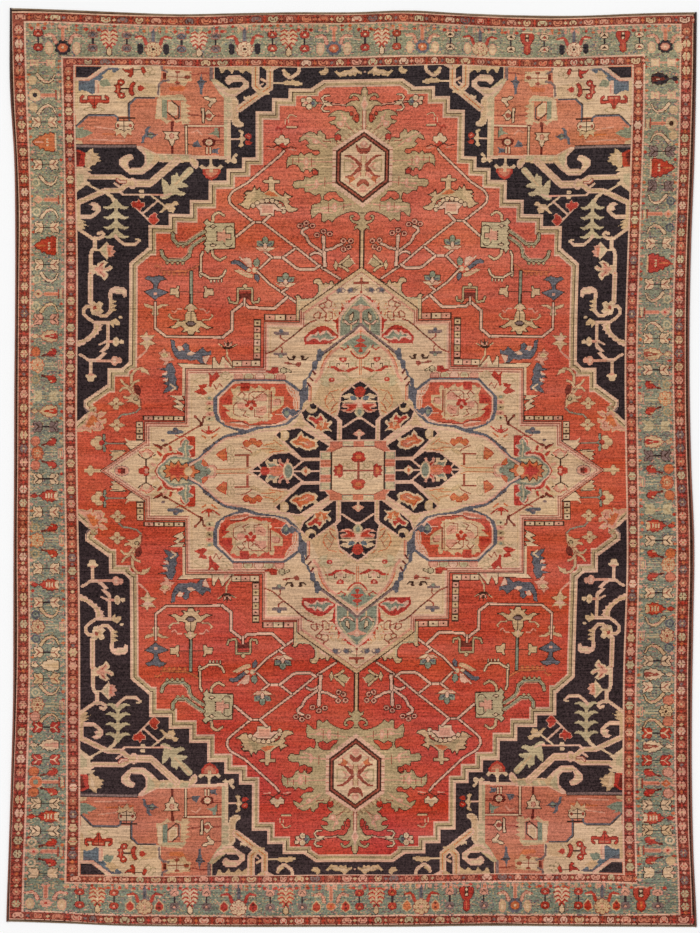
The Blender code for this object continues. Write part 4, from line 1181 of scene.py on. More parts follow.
def field_top(c):
    """Red field above and beside the medallion: the hexagon with its fronds, and the angular vines."""
    A, L, O = c.area, c.line, c.oval
    # fronds round the hexagon: the sprout on the axis, then five leaves down the side, and the pair at the foot
    leaf = "olive"
    A(leaf, "362,88 358,88 356.5,91 356.5,96 353,94.5 349,93.5 345.5,95 344,98.5 346.5,99 347.5,96.8 "
        "350.5,96.3 353.5,98.5 355,101.5 352,100.8 347,101.2 342,104 341,107 345,106 348.5,106.5 351,109 "
        "352.5,112.5 355,115 354.5,119 351,122 347.5,119.5 349,116 345.5,115.5 345,112.5 341,112 337,110.5 "
        "331,111 326.5,113.5 324,117 328.5,116.3 332,117 331,120 325,122 327.5,124.5 331,125 333,128 337,130 "
        "334,131 331.5,133.5 330.5,138 322,139.3 321.5,134.5 318.5,132.3 317,130 314.5,131 313.5,134.5 310,132 "
        "305,131.5 301,134 296.5,138 295.5,142 299,140.5 302,139 304.5,141 306,143.5 302.5,145 306,148.5 "
        "311,150.3 315,150 316.5,152.5 314,155 310,154.5 308,152.3 304,153 301,155 297.5,152 295,155.5 "
        "289,154.5 285,157.5 283.5,162 284,168.5 286.5,165.5 290.5,163.8 295,165.5 298,170.5 300.5,172.5 "
        "302.5,169 305,169.3 307,172.5 309.5,169 312,168 315.5,171 315,175 310.5,175.5 307,178 302,176 301,180 "
        "296,180 291,181.5 290,185 292.5,189 297,188 301.5,188 302.5,192.5 306.5,191.5 309.5,194 312.5,195.5 "
        "317,193.5 318.5,198 317.5,203 313,203.5 309.5,205 308.5,211 309,218 312.5,216.5 316,213 319,213.3 "
        "319.3,221 322,222.3 325,219.8 327.3,220.3 329.5,222.5 332.5,219 337,216 344,213 350,211.8 355,213.5 "
        "357.5,217.5 362,219", "umber", 0.8)
    # gaps between the leaves, and the crimson eyes
    A("red", "320.5,199.5 321.5,195 326,192 333,192 336,196.5 339.5,198.5 341,201.5 337.5,202.3 333.5,200.5 "
        "330,198.5 326,201", "umber", 0.8)
    O("crimson", 352.3, 119, 2.2, 3.8, "umber", 0.8)
    O("crimson", 347, 114.3, 1.4, 1.8, "umber", 0.6)
    O("crimson", 334, 138, 3, 3.4, "umber", 0.8)
    O("crimson", 312, 172.3, 2.6, 2.4, "umber", 0.7)
    # veins: rose ribs with broad rose hearts, and paler strands beside them
    for points in ("333,123 340,121 345,128", "337,113 340,121", "300,134 311,139 323,147", "290,161 330,162",
            "303,185 328,183", "313,208 336,207 352,204", "301,168 312,165", "306,190 312,188",
            "318,212 330,213"):
        L("rose", points, 1.3)
    for points in ("334,126 344,131", "304,133 318,138 328,144", "288,158.5 312,158.5 330,157",
            "299,182 326,180", "312,211 334,210.5 350,207.5", "326,149 314,146 307,146", "318,166 330,168",
            "320,187 329,190 338,191", "349,103.5 354,108"):
        L("camel", points, 1.1)
    for x, y, rx, ry in ((336.5, 124.5, 3.6, 3), (340.5, 119.5, 1.8, 3), (312.5, 141.5, 3.6, 2.2),
            (303, 161.5, 2.6, 4.6), (313.5, 184, 1.8, 5), (332, 207.5, 2.4, 5), (322, 208, 3, 1.8)):
        O("rose", x, y, rx, ry)
        O("peach", x, y, rx * 0.45, ry * 0.5)
    for points in ("290,158 290,163", "296,157.5 296,163", "308,158 308,166", "322,178 322,186",
            "340,126 349,131", "326,204 326,211", "341,204 341,210", "319,141 327,142"):
        L("brick", points, 0.9)
    # core of the sprout
    A("camel", "362,89 358.7,89 358.7,96 362,96")
    A("peach", "362,96 359,96 358,101 355.5,105 358.5,110 358.5,131 362,131")
    L("brick", "358.2,111 358.2,130", 0.9)
    O("rose", 360, 105, 2.4, 4)
    # hexagon: a ribbed peach band, the double ring, and leaves round an oval
    A("peach", "362,128 360,128.5 329,148.5 329,186 360,208.5 362,208")
    for k in range(7):
        x, y = 333 + 4 * k, 146.5 - 2.65 * k
        L("camel", [(x, y), (x - 3.2, y - 3.4)], 1)
        L("brick", [(x + 1.6, y - 1.4), (x - 0.8, y - 4.2)], 0.7)
        L("olive", [(x, 187 + 2.8 * k), (x - 3, 190.5 + 2.8 * k)], 1.1)
    for k in range(9):
        L("camel" if k % 2 else "brick", [(329.5, 151 + 4 * k), (332.5, 151 + 4 * k)], 1)
    A("umber", "362,131.5 360,132 332.3,151 332.3,183.3 360,203.8 362,203")
    A("brick", "362,133.5 360,133.8 334,152 334,182 360,201.5 362,201.5")
    A("umber", "362,135.5 360,135.8 335.7,153 335.7,181.3 360,199.5 362,199.5")
    A("ivory", "362,137.5 360,137.5 337,153.8 337,180.7 360,197.8 362,197.8")
    A("olive", "340,160 347,160 350.5,163.5 350.5,170.5 346,173.5 340,173")
    A("ivory", "341.5,162.5 346,162.5 348,165 348,169.5 345,171.5 341.5,171")
    O("rose", 360, 145, 4.2, 3.6)
    O("peach", 360, 144, 2.2, 2)
    A("brick", "351.5,143.5 354.5,147.5 357.5,149 362,148.5 362,153 357,155 353.5,152.5 352,149")
    A("peach", "354,154.5 358,156.5 356,161 353,158")
    L("brick", "341.5,156 347,157 352,161 355.5,165", 1.6, 3.8)
    L("rose", "347.5,163.5 352.5,166.5 347.5,169.5", 1.8)
    L("brick", "342,177.3 348,176.3 352,172.5 356,169", 1.4, 4.4)
    A("orange", "344,178 350,176.5 352,180 347,183")
    L("rose", "352,178 356,173.5", 2.6)
    A("brick", "353,187.5 353.5,183 357,179.5 362,179.3 362,183.5 358.5,184.5 355.5,187")
    O("rose", 360, 189.5, 4, 3.8)
    A("camel", "362,156 358,156 356.7,160 358.3,166.5 356.7,173 358,177.5 362,177.5")
    L("brick", "357.3,157 356.5,161 358,166.5 356.5,172 357.5,177", 0.8)
    O("ivory", 360, 166.5, 1.6, 4)
    L("brick", "346.5,179 346.5,185", 0.8)
    L("rose", "341,181 352,188.5 357,193", 1.2)
    # small flower and curled forks beside the sprout
    L("umber", "313,103 341,105.5", 2.4)
    L("rose", "313,102.8 341,105.3", 1.1)
    for s in (-1, 1):
        L("ivory", [(324, 103.5 + s), (319.5, 103.5 + 2 * s), (318, 103.5 + 5 * s), (320, 103.5 + 7.6 * s),
            (325, 103.5 + 8 * s)], 1.9, 1.2, "umber", 0.7)
    A("ivory", "319,102.5 323,102 329,102.3 326,103.5 329,106 323,106 319,104.8", "umber", 0.6)
    A("teal", "308,98 311,99 314,103 311,107.5 308.5,106.5 309.5,103", "umber", 0.7)
    O("slate", 309.5, 103, 2, 1.8)
    for x, y, r in ((299.8, 100, 2), (305.5, 99.3, 2.9), (300.2, 104.5, 1.8), (305.5, 106.3, 2.7)):
        O("ivory", x, y, r, None, "umber", 0.7)
    O("camel", 305.5, 99.3, 1.4)
    O("sage", 305.5, 106.3, 1.2)
    O("rose", 302.3, 102.5, 1.6)
    # ivory flower with feelers
    A("ivory", "271.5,142 273,138.5 276,138 277,135.5 279.5,134.5 281.5,136 282,138.5 286,138.5 287,142.5 "
        "284.5,144 283,146.5 280,143.5 277.5,144 275,145.5", "umber", 0.8)
    O("camel", 279, 139, 1.5)
    A("crimson", "277,144.5 280,142.5 283,146 286,147.5 281,148.5 275,147.5")
    L("umber", "264,146.5 270,147.5 275,145.5 281,149 288,146.5 293,148", 1)
    L("rose", "266,149 272,149.5", 1.2)
    L("rose", "286,149 293,150", 1.2)
    L("crimson", "279,134 278,129.5 275,127 273.5,130", 1.4, None, "brick", 0.4)
    L("ivory", "282.5,119.5 282.5,123.5", 1)
    L("ivory", "286,119.5 286,122", 1)
    L("crimson", "279,129 283,126 284,122", 1.5)
    L("camel", "284,127 293.5,127", 1.2, None, "umber", 0.6)
    L("camel", "284.5,118 287,114.5 290,115 293,116.5", 1.1, None, "brick", 0.5)
    # long thin vine and its palmette
    L("peach", "281,151 277,156 262,169 246,183 231,191.5 227.5,197 228,203 232,207 247,219", 1.9, None,
        "umber", 0.8)
    A("camel", "236,204.5 240.5,203 243.5,199 241.5,197.5 245,195.5 242,194 244.5,191.5 250,191.5 252.5,186 "
        "254.5,190.5 257.5,188 259,192 262.5,192.5 266,190.5 266,183.5 260.5,183 260.5,180.8 266,180 267,176.5 "
        "270,176.5 271,180 277.5,180.3 277.5,183.3 272,183.5 272,190 276,193.5 281,196.5 282.5,191.5 "
        "285.5,194.5 290.5,196.5 285,199 288,201.5 286,203.5 289.5,206.5 296,208.5 294,211 287,212.5 283.5,209 "
        "281,203 275,200 262,199.5 255,203 249.5,205.5 247.5,209.5 243.5,209 240,206.5", "umber", 0.9)
    A("olive", "253,190 257,191 263,195 275,195 281,199 283,204 274,198 262,197.5 252,202 249,201 254,195")
    A("orange", "262,194 267,191 272,193 277,197 266,196")
    L("camel", "269,178 269,189", 2)
    for x, y in ((251, 206.3), (255.5, 203.6), (260, 201.8), (265, 200.9), (270, 201), (274.3, 202.8),
            (277.5, 206), (281, 208.5), (281.5, 211.5)):
        O("ivory", x, y, 2.2, 2, "umber", 0.7)
    A("peach", "254,206 259,204 273,204 277,208 281,210.5 278,211.5 272.5,210.5 272.5,216.5 258.5,216.5 "
        "258,211 254,207.5", "umber", 0.8)
    A("rose", "259.5,205.5 271,205.5 271,214 260.5,214")
    A("ivory", "260,213.5 271,213.5 271,215.7 260,215.7")


def field_left(c):
    """Red field left of the medallion's shoulder."""
    A, L, O = c.area, c.line, c.oval
    # crab-like flower with its two curled arms
    L("camel", "211.3,222 211.5,216.5 214,213.5 218,212.3 222.5,215.5", 2.6, 1.7, "umber", 0.8)
    L("camel", "211,250 211.5,255 215,258.7 219,260 224,257", 2.6, 1.7, "umber", 0.8)
    A("sage", "202,222.5 204,220.5 206,218.5 208,221.5 214,222.8 233,223.3 233.5,248.5 214,249 208.5,250 "
        "206.5,254 204.5,251 202.5,249 204,246 202,243.5 204.5,241 202,238.5 204.5,236 202.5,233 205,231 "
        "203,228 205,225.5", "umber", 1.0)
    for y in (226.3, 245):
        A("umber", [(207.5, y), (211.5, y - 2.4), (215.5, y), (211.5, y + 2.4)])
        O("ivory", 211.5, y, 2, 1)
    A("rose", "215.5,231.5 221,232 223,228.5 224,234 229,234.8 229.5,239 224,238.5 224,243.5 221,240.5 "
        "215.5,241")
    L("umber", "221.5,230 225,226.8 229,225.8 232,228", 0.9)
    L("umber", "222,243 225,246.5 229,246.5 231.5,243.5", 0.9)
    L("umber", "224.5,233.5 229.8,233.8 229.8,239.6 224.5,239.3", 0.9)
    L("umber", "224,229 224,233", 0.9)
    for y in range(232, 242, 2):
        O("umber", 215.5, y, 0.8)
    # long grey claws at the left, their backs scalloped
    for points, top in (("203,231.5 196,235.5 190,240 185,244 176,244 172,239.5 171.7,234.5",
            "201,230 189,238 184,241.7 178,241.7"), ("203,238 197,241.5 191,246 189,250 188,256 182,260.5 "
            "166,261 161.5,256.5 160.3,251.5", "200,237.5 190,243.5 186.5,250 186,254 181,258.3 168,258.5")):
        L("olive", points, 3, None, "umber", 0.9)
        L("teal", points, 1.3)
        L("rose", top, 0.9)
    for x in (166, 171, 176.5, 181.5):
        O("olive", x, 263.2, 1.5, 1.2, "umber", 0.7)
    for x in (177, 182):
        O("olive", x, 246.3, 1.4, 1.1, "umber", 0.6)
    # comb
    L("orange", "198,264.5 189,270 184,271.5 160,271.7", 1.5, None, "brick", 0.9)
    for x in (163, 168, 173, 178.5, 184):
        O("orange", x, 274, 1.7, 1.5, "brick", 0.6)
    L("orange", "160,269 156,266 153.5,267", 1.1, None, "brick", 0.5)
    # vine down to the comb at the right
    for x in (209.5, 213, 216.5, 220):
        L("ivory", [(x, 278), (x + 0.3, 281.3)], 1.4, None, "umber", 0.7)
    L("ivory", "201.5,251.8 199.5,256 199.3,276", 2, None, "umber", 0.9)
    L("ivory", "200,273.5 203,274.5 208,277.7 218,277.7 221.5,275.5 224,270.5", 1.9, None, "umber", 0.8)
    # mast with crossbar and buds
    L("umber", "178,292 203,292", 1.3)
    L("teal", "190,272 190.3,304", 2.2, None, "umber", 1.0)
    for s in (-1, 1):
        x = 190.5 + 15 * s
        A("camel", [(x - 3 * s, 286), (x - 0.5 * s, 285.5), (x + 0.5 * s, 288.5), (x + 6.5 * s, 288.5),
            (x + 7 * s, 295), (x + 1.5 * s, 295.5), (x, 298), (x - 3 * s, 297.5), (x - 3 * s, 294),
            (x - 2 * s, 290)], "umber", 0.8)
    # lily with an eye, under the mast
    A("camel", "187,310 192.5,310 195,315 196,320 200,320.5 206,325.5 212,327.5 206,328.7 200,326.5 197,329 "
        "199.5,332 194,331.5 192.5,334.5 187.5,334.5 186.5,331.5 180.5,332 183.5,329 180,326 175,328.5 166,328 "
        "173,325.5 177,320.3 180,321.5 184,320 184.5,314", "umber", 0.8)
    A("camel", "189.7,303 194,305.5 197,309 193.5,309 192.5,311 187,311 186,309 183,309.5 185.5,305.5",
        "umber", 0.7)
    L("peach", "189.7,305 189.7,311", 1.6)
    L("umber", "189.7,311 189.7,321", 1)
    A("umber", "184,323.5 187,321 192.5,321 196,323.5 192,326.3 187.5,326.3")
    A("mauve", "185.5,323.5 188,322 192,322 194.5,323.5 191.5,325.3 188,325.3")
    for s in (-1, 1):
        L("camel", [(189.7 + 12 * s, 319.7), (189.7 + 18 * s, 319.5), (189.7 + 22 * s, 316),
            (189.7 + 21 * s, 314.5)], 1.4, None, "brick", 0.6)
        L("rose", [(189.7 + 9 * s, 309), (189.7 + 13 * s, 309), (189.7 + 16 * s, 313), (189.7 + 19 * s, 311)],
            1.1)
        L("brick", [(189.7 + 14 * s, 308), (189.7 + 16 * s, 311), (189.7 + 19 * s, 309)], 0.9)
    # blue lily on the angular vine
    A("slate", "143.5,279.5 147,276.3 151,277.8 154,277 158,276 162,277 165.5,280 160,281 157,284.5 156.5,289 "
        "162,290.5 167.5,292.5 162,295.5 157,298 154,300.5 150,297.5 146,294.5 142.5,292 148,290.5 152.3,289 "
        "152,284.5 149,281.5", "umber", 0.8)
    O("rose", 154.3, 294.3, 1.8, 1.6)
    A("camel", "154.3,302 156,306.5 160,304.5 166,304 168.5,306 162,307 157.5,309.5 157,313 159,312 157,316 "
        "151.5,316 149.5,312 151.5,313 151,309.5 145,308 142.5,305.5 143,303.8 148,305 152,306.5", "brick", 0.8)
    L("peach", "154.3,303 154.3,328.5 165,336.5 221,337 231,330.5", 2.1, None, "umber", 0.8)
    # double star flower near the steps
    A("camel", "146,331 147.5,335.5 155,335 152,338 149.5,340 156,344.5 149.5,345.5 146,352 143,346 "
        "136.5,344.5 143,341.5 142,338.5 136.5,336.5 143,335.5", "brick", 0.7)
    L("peach", "146,334 146,349", 1.1)
    A("peach", "140,338.5 146,336.5 152,338.5 146,341.5")
    L("rose", "146,351 136,360", 2)


def quarter():
    """The field's -X, +Y quarter, up to the rug's two middle lines."""
    c = Chart(FIELD_LEFT, FIELD_TOP, AXIS, MIDDLE, "navy")
    corner_piece(c)
    spandrel(c)
    spandrel_top(c)
    c.knots[inside(c, STEPS)] = CODE["red"]
    rim(c, STEPS, [(7.9, "peach"), (6.6, "olive"), (4.1, "umber"), (3.4, "ivory"), (1.7, "peach")])
    field_top(c)
    field_left(c)
    field_vines(c)
    medallion(c)
    cartouche(c)
    heart(c)
    return c


# ---- The borders

# Where the field, the inner guard border, the main border and the pile begin from the top and from the left
FIELD_TOP, FIELD_LEFT = 67.3, 77.0
GUARD_TOP, GUARD_LEFT = 58.0, 64.5
BAND_TOP, BAND_LEFT = 24.0, 29.5
EDGE_TOP, EDGE_LEFT = 12.5, 16.0
EDGE_BOTTOM = 925.5
# the middle lines of the main border's four bands, and a place beyond every edge
MID_LEFT, MID_RIGHT, MID_TOP, MID_BOTTOM = 47, 673, 41.5, 899.5
BEYOND = 999

# The main border's motifs down each side and along each end: place, motif, first yarn, second yarn
LEFT_SIDE = [(64, "pair", "camel", "rose"), (82, "bird", "camel", "ivory"), (96.7, "bar", "camel", "navy"),
    (109, "bird", "camel", "ivory"), (123.6, "flowers", "ivory", "brick"),
    (143.7, "triangle", "orange", "ivory"), (166, "flowers", "ivory", "brick"),
    (184, "bird", "sage", "ivory"), (201, "bar", "rose", "camel"), (213, "bird", "sage", "ivory"),
    (228.8, "flowers", "ivory", "brick"), (247, "triangle", "crimson", "ivory"),
    (265.8, "flowers", "ivory", "brick"), (280.5, "bird", "sage", "ivory"), (295, "bar", "camel", "brick"),
    (307, "bird", "sage", "camel"), (320.3, "flowers", "rose", "umber"),
    (337.3, "goblet", "camel", "crimson"), (353, "bird", "orange", "crimson"),
    (366, "rosette", "camel", "orange"), (380.5, "bird", "olive", "crimson"),
    (397, "flowers", "sage", "olive"), (412, "goblet", "camel", "crimson"),
    (427.5, "flowers", "mauve", "umber"), (442, "bird", "salmon", "crimson"),
    (454, "rosette", "orange", "camel"), (466, "bird", "salmon", "crimson"),
    (479.5, "flowers", "ivory", "umber"), (496.4, "goblet", "crimson", "ivory"),
    (512.7, "flowers", "ivory", "brick"), (528, "bird", "olive", "crimson"),
    (540.8, "rosette", "camel", "orange"), (554.4, "bird", "olive", "crimson"),
    (568.9, "flowers", "ivory", "brick"), (585.2, "goblet", "crimson", "ivory"),
    (602.8, "flowers", "ivory", "brick"), (615, "bird", "slate", "camel"),
    (627.3, "rosette", "camel", "brick"), (639, "bird", "slate", "camel"),
    (652.6, "flowers", "ivory", "brick"), (665.5, "goblet", "ivory", "camel"),
    (678.8, "flowers", "camel", "brick"), (692.5, "bird", "sage", "camel"),
    (704.7, "rosette", "camel", "brick"), (716.5, "bird", "rose", "camel"),
    (727.4, "flowers", "crimson", "ivory"), (745, "goblet", "ivory", "rose"),
    (759.7, "flowers", "crimson", "ivory"), (771.4, "bird", "orange", "crimson"),
    (782, "bar", "orange", "teal"), (792, "bird", "orange", "crimson"), (803.4, "flowers", "ivory", "umber"),
    (816.3, "goblet", "crimson", "ivory"), (830.8, "flowers", "ivory", "umber"),
    (842, "bird", "ivory", "crimson"), (851.4, "bar", "rose", "crimson"), (862.6, "bird", "ivory", "crimson"),
    (873, "flowers", "ivory", "camel")]
RIGHT_SIDE = [(64.7, "pair", "ivory", "camel"), (80.6, "goblet", "navy", "wine"),
    (97, "pair", "camel", "rose"), (111.5, "bird", "camel", "ivory"), (125, "bar", "camel", "umber"),
    (137.2, "bird", "camel", "ivory"), (153, "flowers", "mauve", "umber"),
    (169.4, "triangle", "crimson", "ivory"), (187.5, "flowers", "mauve", "umber"),
    (202.7, "bird", "slate", "ivory"), (215.5, "bar", "rose", "orange"), (228.9, "bird", "slate", "ivory"),
    (244.8, "flowers", "ivory", "brick"), (264.6, "triangle", "crimson", "camel"),
    (285.7, "flowers", "ivory", "brick"), (300.4, "bird", "sage", "ivory"), (313.7, "bar", "rose", "crimson"),
    (326, "bird", "sage", "ivory"), (339.7, "flowers", "ivory", "brick"), (355.4, "goblet", "camel", "brick"),
    (371.3, "flowers", "ivory", "brick"), (385.8, "bird", "olive", "crimson"),
    (399.8, "rosette", "camel", "orange"), (412.7, "bird", "olive", "crimson"),
    (427.2, "flowers", "sage", "olive"), (443, "goblet", "camel", "crimson"),
    (457, "flowers", "mauve", "umber"), (470, "bird", "orange", "crimson"),
    (483.5, "rosette", "orange", "camel"), (496.4, "bird", "orange", "crimson"),
    (510.4, "flowers", "sage", "olive"), (526.8, "goblet", "crimson", "camel"),
    (541.5, "flowers", "ivory", "umber"), (554.4, "bird", "orange", "crimson"),
    (565.8, "rosette", "camel", "orange"), (578.2, "bird", "salmon", "crimson"),
    (593.9, "flowers", "ivory", "brick"), (609.8, "goblet", "crimson", "camel"),
    (624.3, "bird", "slate", "camel"), (636.7, "rosette", "camel", "brick"),
    (648.4, "bird", "slate", "camel"), (661.9, "flowers", "ivory", "umber"),
    (675.3, "goblet", "ivory", "brick"), (688, "flowers", "ivory", "brick"),
    (701.2, "bird", "salmon", "camel"), (712.2, "rosette", "camel", "umber"),
    (722.3, "bird", "salmon", "camel"), (734, "flowers", "crimson", "ivory"),
    (747.3, "goblet", "ivory", "brick"), (761.3, "flowers", "crimson", "ivory"),
    (773, "bird", "rose", "crimson"), (784.2, "bar", "orange", "rose"), (794, "bird", "rose", "crimson"),
    (805.8, "flowers", "ivory", "umber"), (818.6, "goblet", "crimson", "ivory"),
    (830.8, "flowers", "camel", "umber"), (840.8, "bird", "ivory", "crimson"),
    (851, "bar", "rose", "crimson"), (861.4, "bird", "camel", "crimson"), (873, "flowers", "ivory", "camel")]
TOP_END = [(42, "stack", "crimson", "rose"), (65.5, "crown", "orange", "navy"),
    (94.5, "stack", "mauve", "slate"), (110.5, "tower", "camel", "crimson"),
    (127.5, "stack", "mauve", "slate"), (153.5, "crown", "camel", "navy"), (181, "stack", "slate", "mauve"),
    (198, "tower", "ivory", "brick"), (214.5, "stack", "mauve", "slate"), (242.5, "crown", "ivory", "navy"),
    (269.5, "stack", "crimson", "ivory"), (285.5, "tower", "camel", "crimson"),
    (301, "stack", "crimson", "ivory"), (329.5, "crown", "orange", "slate"),
    (360, "stack", "crimson", "ivory"), (377.6, "tower", "ivory", "brick"),
    (393.4, "stack", "crimson", "rose"), (420.6, "crown", "orange", "slate"),
    (450, "stack", "ivory", "umber"), (481.6, "crown", "camel", "camel"), (514.4, "stack", "ivory", "umber"),
    (531.5, "heart", "crimson", "ivory"), (549.7, "stack", "ivory", "crimson"),
    (581, "crown", "ivory", "navy"), (613.3, "stack", "ivory", "umber"), (632.9, "heart", "crimson", "ivory"),
    (650, "stack", "ivory", "crimson"), (675.7, "crown", "rose", "navy")]
BOTTOM_END = [(48.5, "crown", "rose", "camel"), (77.5, "stack", "crimson", "rose"),
    (95.5, "tower", "camel", "crimson"), (112.5, "stack", "crimson", "rose"),
    (144, "crown", "camel", "crimson"), (174.5, "stack", "mauve", "rose"),
    (190.5, "tower", "ivory", "crimson"), (207.5, "stack", "mauve", "rose"),
    (240.5, "crown", "ivory", "crimson"), (273, "stack", "mauve", "rose"), (289, "tower", "camel", "crimson"),
    (306, "stack", "mauve", "rose"), (335.5, "crown", "orange", "crimson"),
    (364.9, "stack", "crimson", "orange"), (382.6, "tower", "camel", "brick"),
    (399.4, "stack", "crimson", "orange"), (429.9, "crown", "camel", "orange"),
    (459.9, "stack", "mauve", "rose"), (477.7, "heart", "crimson", "rose"), (495.9, "stack", "mauve", "rose"),
    (528.7, "crown", "orange", "slate"), (560.4, "stack", "crimson", "rose"),
    (577.9, "tower", "ivory", "brick"), (595.4, "stack", "crimson", "rose"),
    (620.5, "crown", "camel", "crimson"), (644.7, "stack", "mauve", "rose"),
    (659.3, "heart", "crimson", "rose"), (672.9, "stack", "mauve", "rose")]


# Which way each hooked leaf curls: the two beside a bar or a rosette face away from each other
BIRD_FLIP = {}
for fixed, side in ((MID_LEFT, LEFT_SIDE), (MID_RIGHT, RIGHT_SIDE)):
    for before, this in zip(side, side[1:]):
        if this[1] == "bird":
            BIRD_FLIP[(fixed, round(this[0]))] = (before[1] in ("bar", "rosette")) == (fixed == MID_LEFT)


def motif(c, kind, first, second, x, y, turn):
    """One motif of the main border. Its own drawing has +y towards the field along the sides, and down the rug
    in the two end borders."""
    def at(points, flip=False):
        return placed(points, x, y, turn, 1, flip)

    def dot(yarn, px, py, rx, ry=None, edge=None):
        ry = ry or rx
        fx, fy = at([(px, py)])[0]
        c.oval(yarn, fx, fy, *((ry, rx) if turn else (rx, ry)), edge, 0.7)

    dark = "wine" if first in ("crimson", "orange", "rose") else "umber"
    if kind == "flowers":
        c.line("navy" if second != "olive" else "olive", at("0,-5 0,4"), 1.2)
        for py, s in ((-9.5, 1), (7.5, -1)):
            wings = [(-5.8, -3.6), (-2.6, -4.4), (0, -2), (2.6, -4.4), (5.8, -3.6), (4.7, -0.6), (5.6, 2.6),
                (3, 4.8), (-3, 4.8), (-5.6, 2.6), (-4.7, -0.6)]
            c.area(first, at([(px, py + s * v) for px, v in wings]), dark if second != "olive" else None, 0.6)
            c.line(second, at([(-3.4, py - s * 1.6), (0, py + s * 1.6), (3.4, py - s * 1.6)]), 0.9)
            c.line(second, at([(0, py + s * 1.6), (0, py + s * 4.4)]), 0.9)
    elif kind == "stack":
        c.line("navy", at("0,-4 0,4.5"), 1.9)
        faint = first == "mauve" and second == "rose"
        for py in (-6.5, 7):
            c.area("rose" if faint and py < 0 else first, at([(-4.8, py - 1), (-3, py - 3.6), (3, py - 3.6),
                (4.8, py - 1), (4.2, py + 2), (1.6, py + 3.2), (-1.6, py + 3.2), (-4.2, py + 2)]),
                "mauve" if faint else "brick" if first in ("mauve", "slate") else dark, 0.6)
            dot(second, 0, py, 1.7, 1.2)
            c.line(dark, at([(-2.8, py + 1.4), (0, py - 2), (2.8, py + 1.4)]), 0.6)
        for px in (-6, 6):
            dot("crimson" if x % 2 < 1.2 else "rose", px, -11.5, 1.9, 1.6)
            c.line("rose", at([(px * 0.4, -13.5), (px * 0.4, -9.5)]), 0.9)
    elif kind == "pair":
        for py in (-9, 7):
            c.area(first, at([(-3.8, py - 4), (3.8, py - 4), (2.8, py), (3.8, py + 4), (-3.8, py + 4),
                (-2.8, py)]), "rose", 0.5)
            dot(second, 0, py, 1.3)
        c.line("rose", at("0,-4 0,2"), 1.8)
    elif kind == "triangle":
        saw = ("0,-14 -3,-11.5 -4,-8 -6.8,-6.5 -6.3,-3 -8.8,-1 -8.3,2.5 -9.8,4 -9,8 -5,9.3 0,8.3 5,9.3 9,8 "
            "9.8,4 8.3,2.5 8.8,-1 6.3,-3 6.8,-6.5 4,-8 3,-11.5")
        c.area(first, at(saw), dark, 0.8)
        c.line(second, at("-8.5,9.8 0,9 8.5,9.8"), 1.5)
        for px, py in ((-2.8, 1), (0, 1), (2.8, 1)):
            dot(second, px, py, 0.9, 1.3)
        c.line("rose" if first == "orange" else "orange", at("0,-11 0,-3"), 1.2)
    elif kind == "goblet":
        c.area(first, at("0,-16.5 -2.4,-13 -2,-11 0,-8.5 2,-11 2.4,-13"),
            dark if first != "camel" else "brick", 0.5)
        cup = ("0,-8.5 -1.6,-5.5 -4.3,-4 -3.8,-1.8 -6,0 -5.4,2.4 -6.6,4.5 -4.6,7 -5,9.6 -2,10.8 2,10.8 5,9.6 "
            "4.6,7 6.6,4.5 5.4,2.4 6,0 3.8,-1.8 4.3,-4 1.6,-5.5")
        c.area(first, at(cup), dark if first != "camel" else "brick", 0.7)
        if first == "crimson":
            c.line("orange", at("-3.5,0 -2.6,5 -3.5,9"), 1)
            c.line("orange", at("3.5,0 2.6,5 3.5,9"), 1)
            for py in (-1, 1.8, 4.6):
                c.line(second, at([(-1.7, py), (1.7, py)]), 1.5)
            c.area(second, at("-3.6,8 -1,6.6 1,6.6 3.6,8 4.2,11.5 0,10 -4.2,11.5"))
        else:
            c.area(second, at("0,-3.5 -1.5,-1 -1.2,2 -2.4,5 -3,9 0,10.6 3,9 2.4,5 1.2,2 1.5,-1"))
            c.line("camel" if first == "ivory" else "ivory", at("0,3 0,6"), 0.9)
    elif kind == "bird":
        flip = BIRD_FLIP[(round(x), round(y))]
        ball = "brick" if first in ("orange", "salmon", "rose") else None
        dot(first, 0, -11.5, 4.4, 4.2, ball)
        if first in ("sage", "slate", "ivory", "olive"):
            dot("teal", 0, -11.5, 2.6, 2.4)
            dot(first, 0, -11.5, 1.2, 1)
        if second == "crimson":
            c.line("wine", at("-4,-5 -2.6,0", flip), 2.2, 2)
            c.area("crimson", at("-3.5,-1 0,1.2 3.6,4 3,8.5 0.6,10 -2.8,8.6 -3.8,5", flip), "wine", 0.6)
            c.area("camel", at("1.5,1.5 3,4.4 0.8,5.4", flip))
            c.line("brick", at("-3.4,-1 -4.6,8", flip), 1)
        else:
            hook = at("5.8,-6.6 2,-3.8 -1.4,0 -2.2,4 0.2,7.8 5.6,10.2", flip)
            c.line(second, hook, 3, 1.1, "umber", 0.7)
            c.line("rose", at("0.4,-1.6 -1.2,3.6", flip), 1.1)
    elif kind == "bar":
        if second in ("navy", "umber", "teal"):
            dot(first, 0, -9.5, 5.6, 5.4, "rose")
            dot(second, 0, -9.5, 2.4)
        else:
            c.area(first, at("0,-14.5 -4.2,-9.5 0,-4.5 4.2,-9.5"), "camel" if first == "rose" else "rose", 0.8)
            dot(second, 0, -9.5, 1.3)
        c.line("salmon", at("0,-2.5 0,10"), 2.7, None, "rose", 0.6)
        for py in (11, 15.5):
            c.line("brick", at([(-4.6, py), (4.6, py)]), 1)
        c.line("camel", at("-4,13.2 4,13.2"), 1.6)
    elif kind == "rosette":
        for k in range(8):
            a = math.pi * k / 4
            dot(first, 4.6 * math.cos(a), -9.5 + 4 * math.sin(a), 2.2, 2,
                second if second != "camel" else "brick")
        dot(first, 0, -9.5, 4.6, 4)
        for k in range(8):
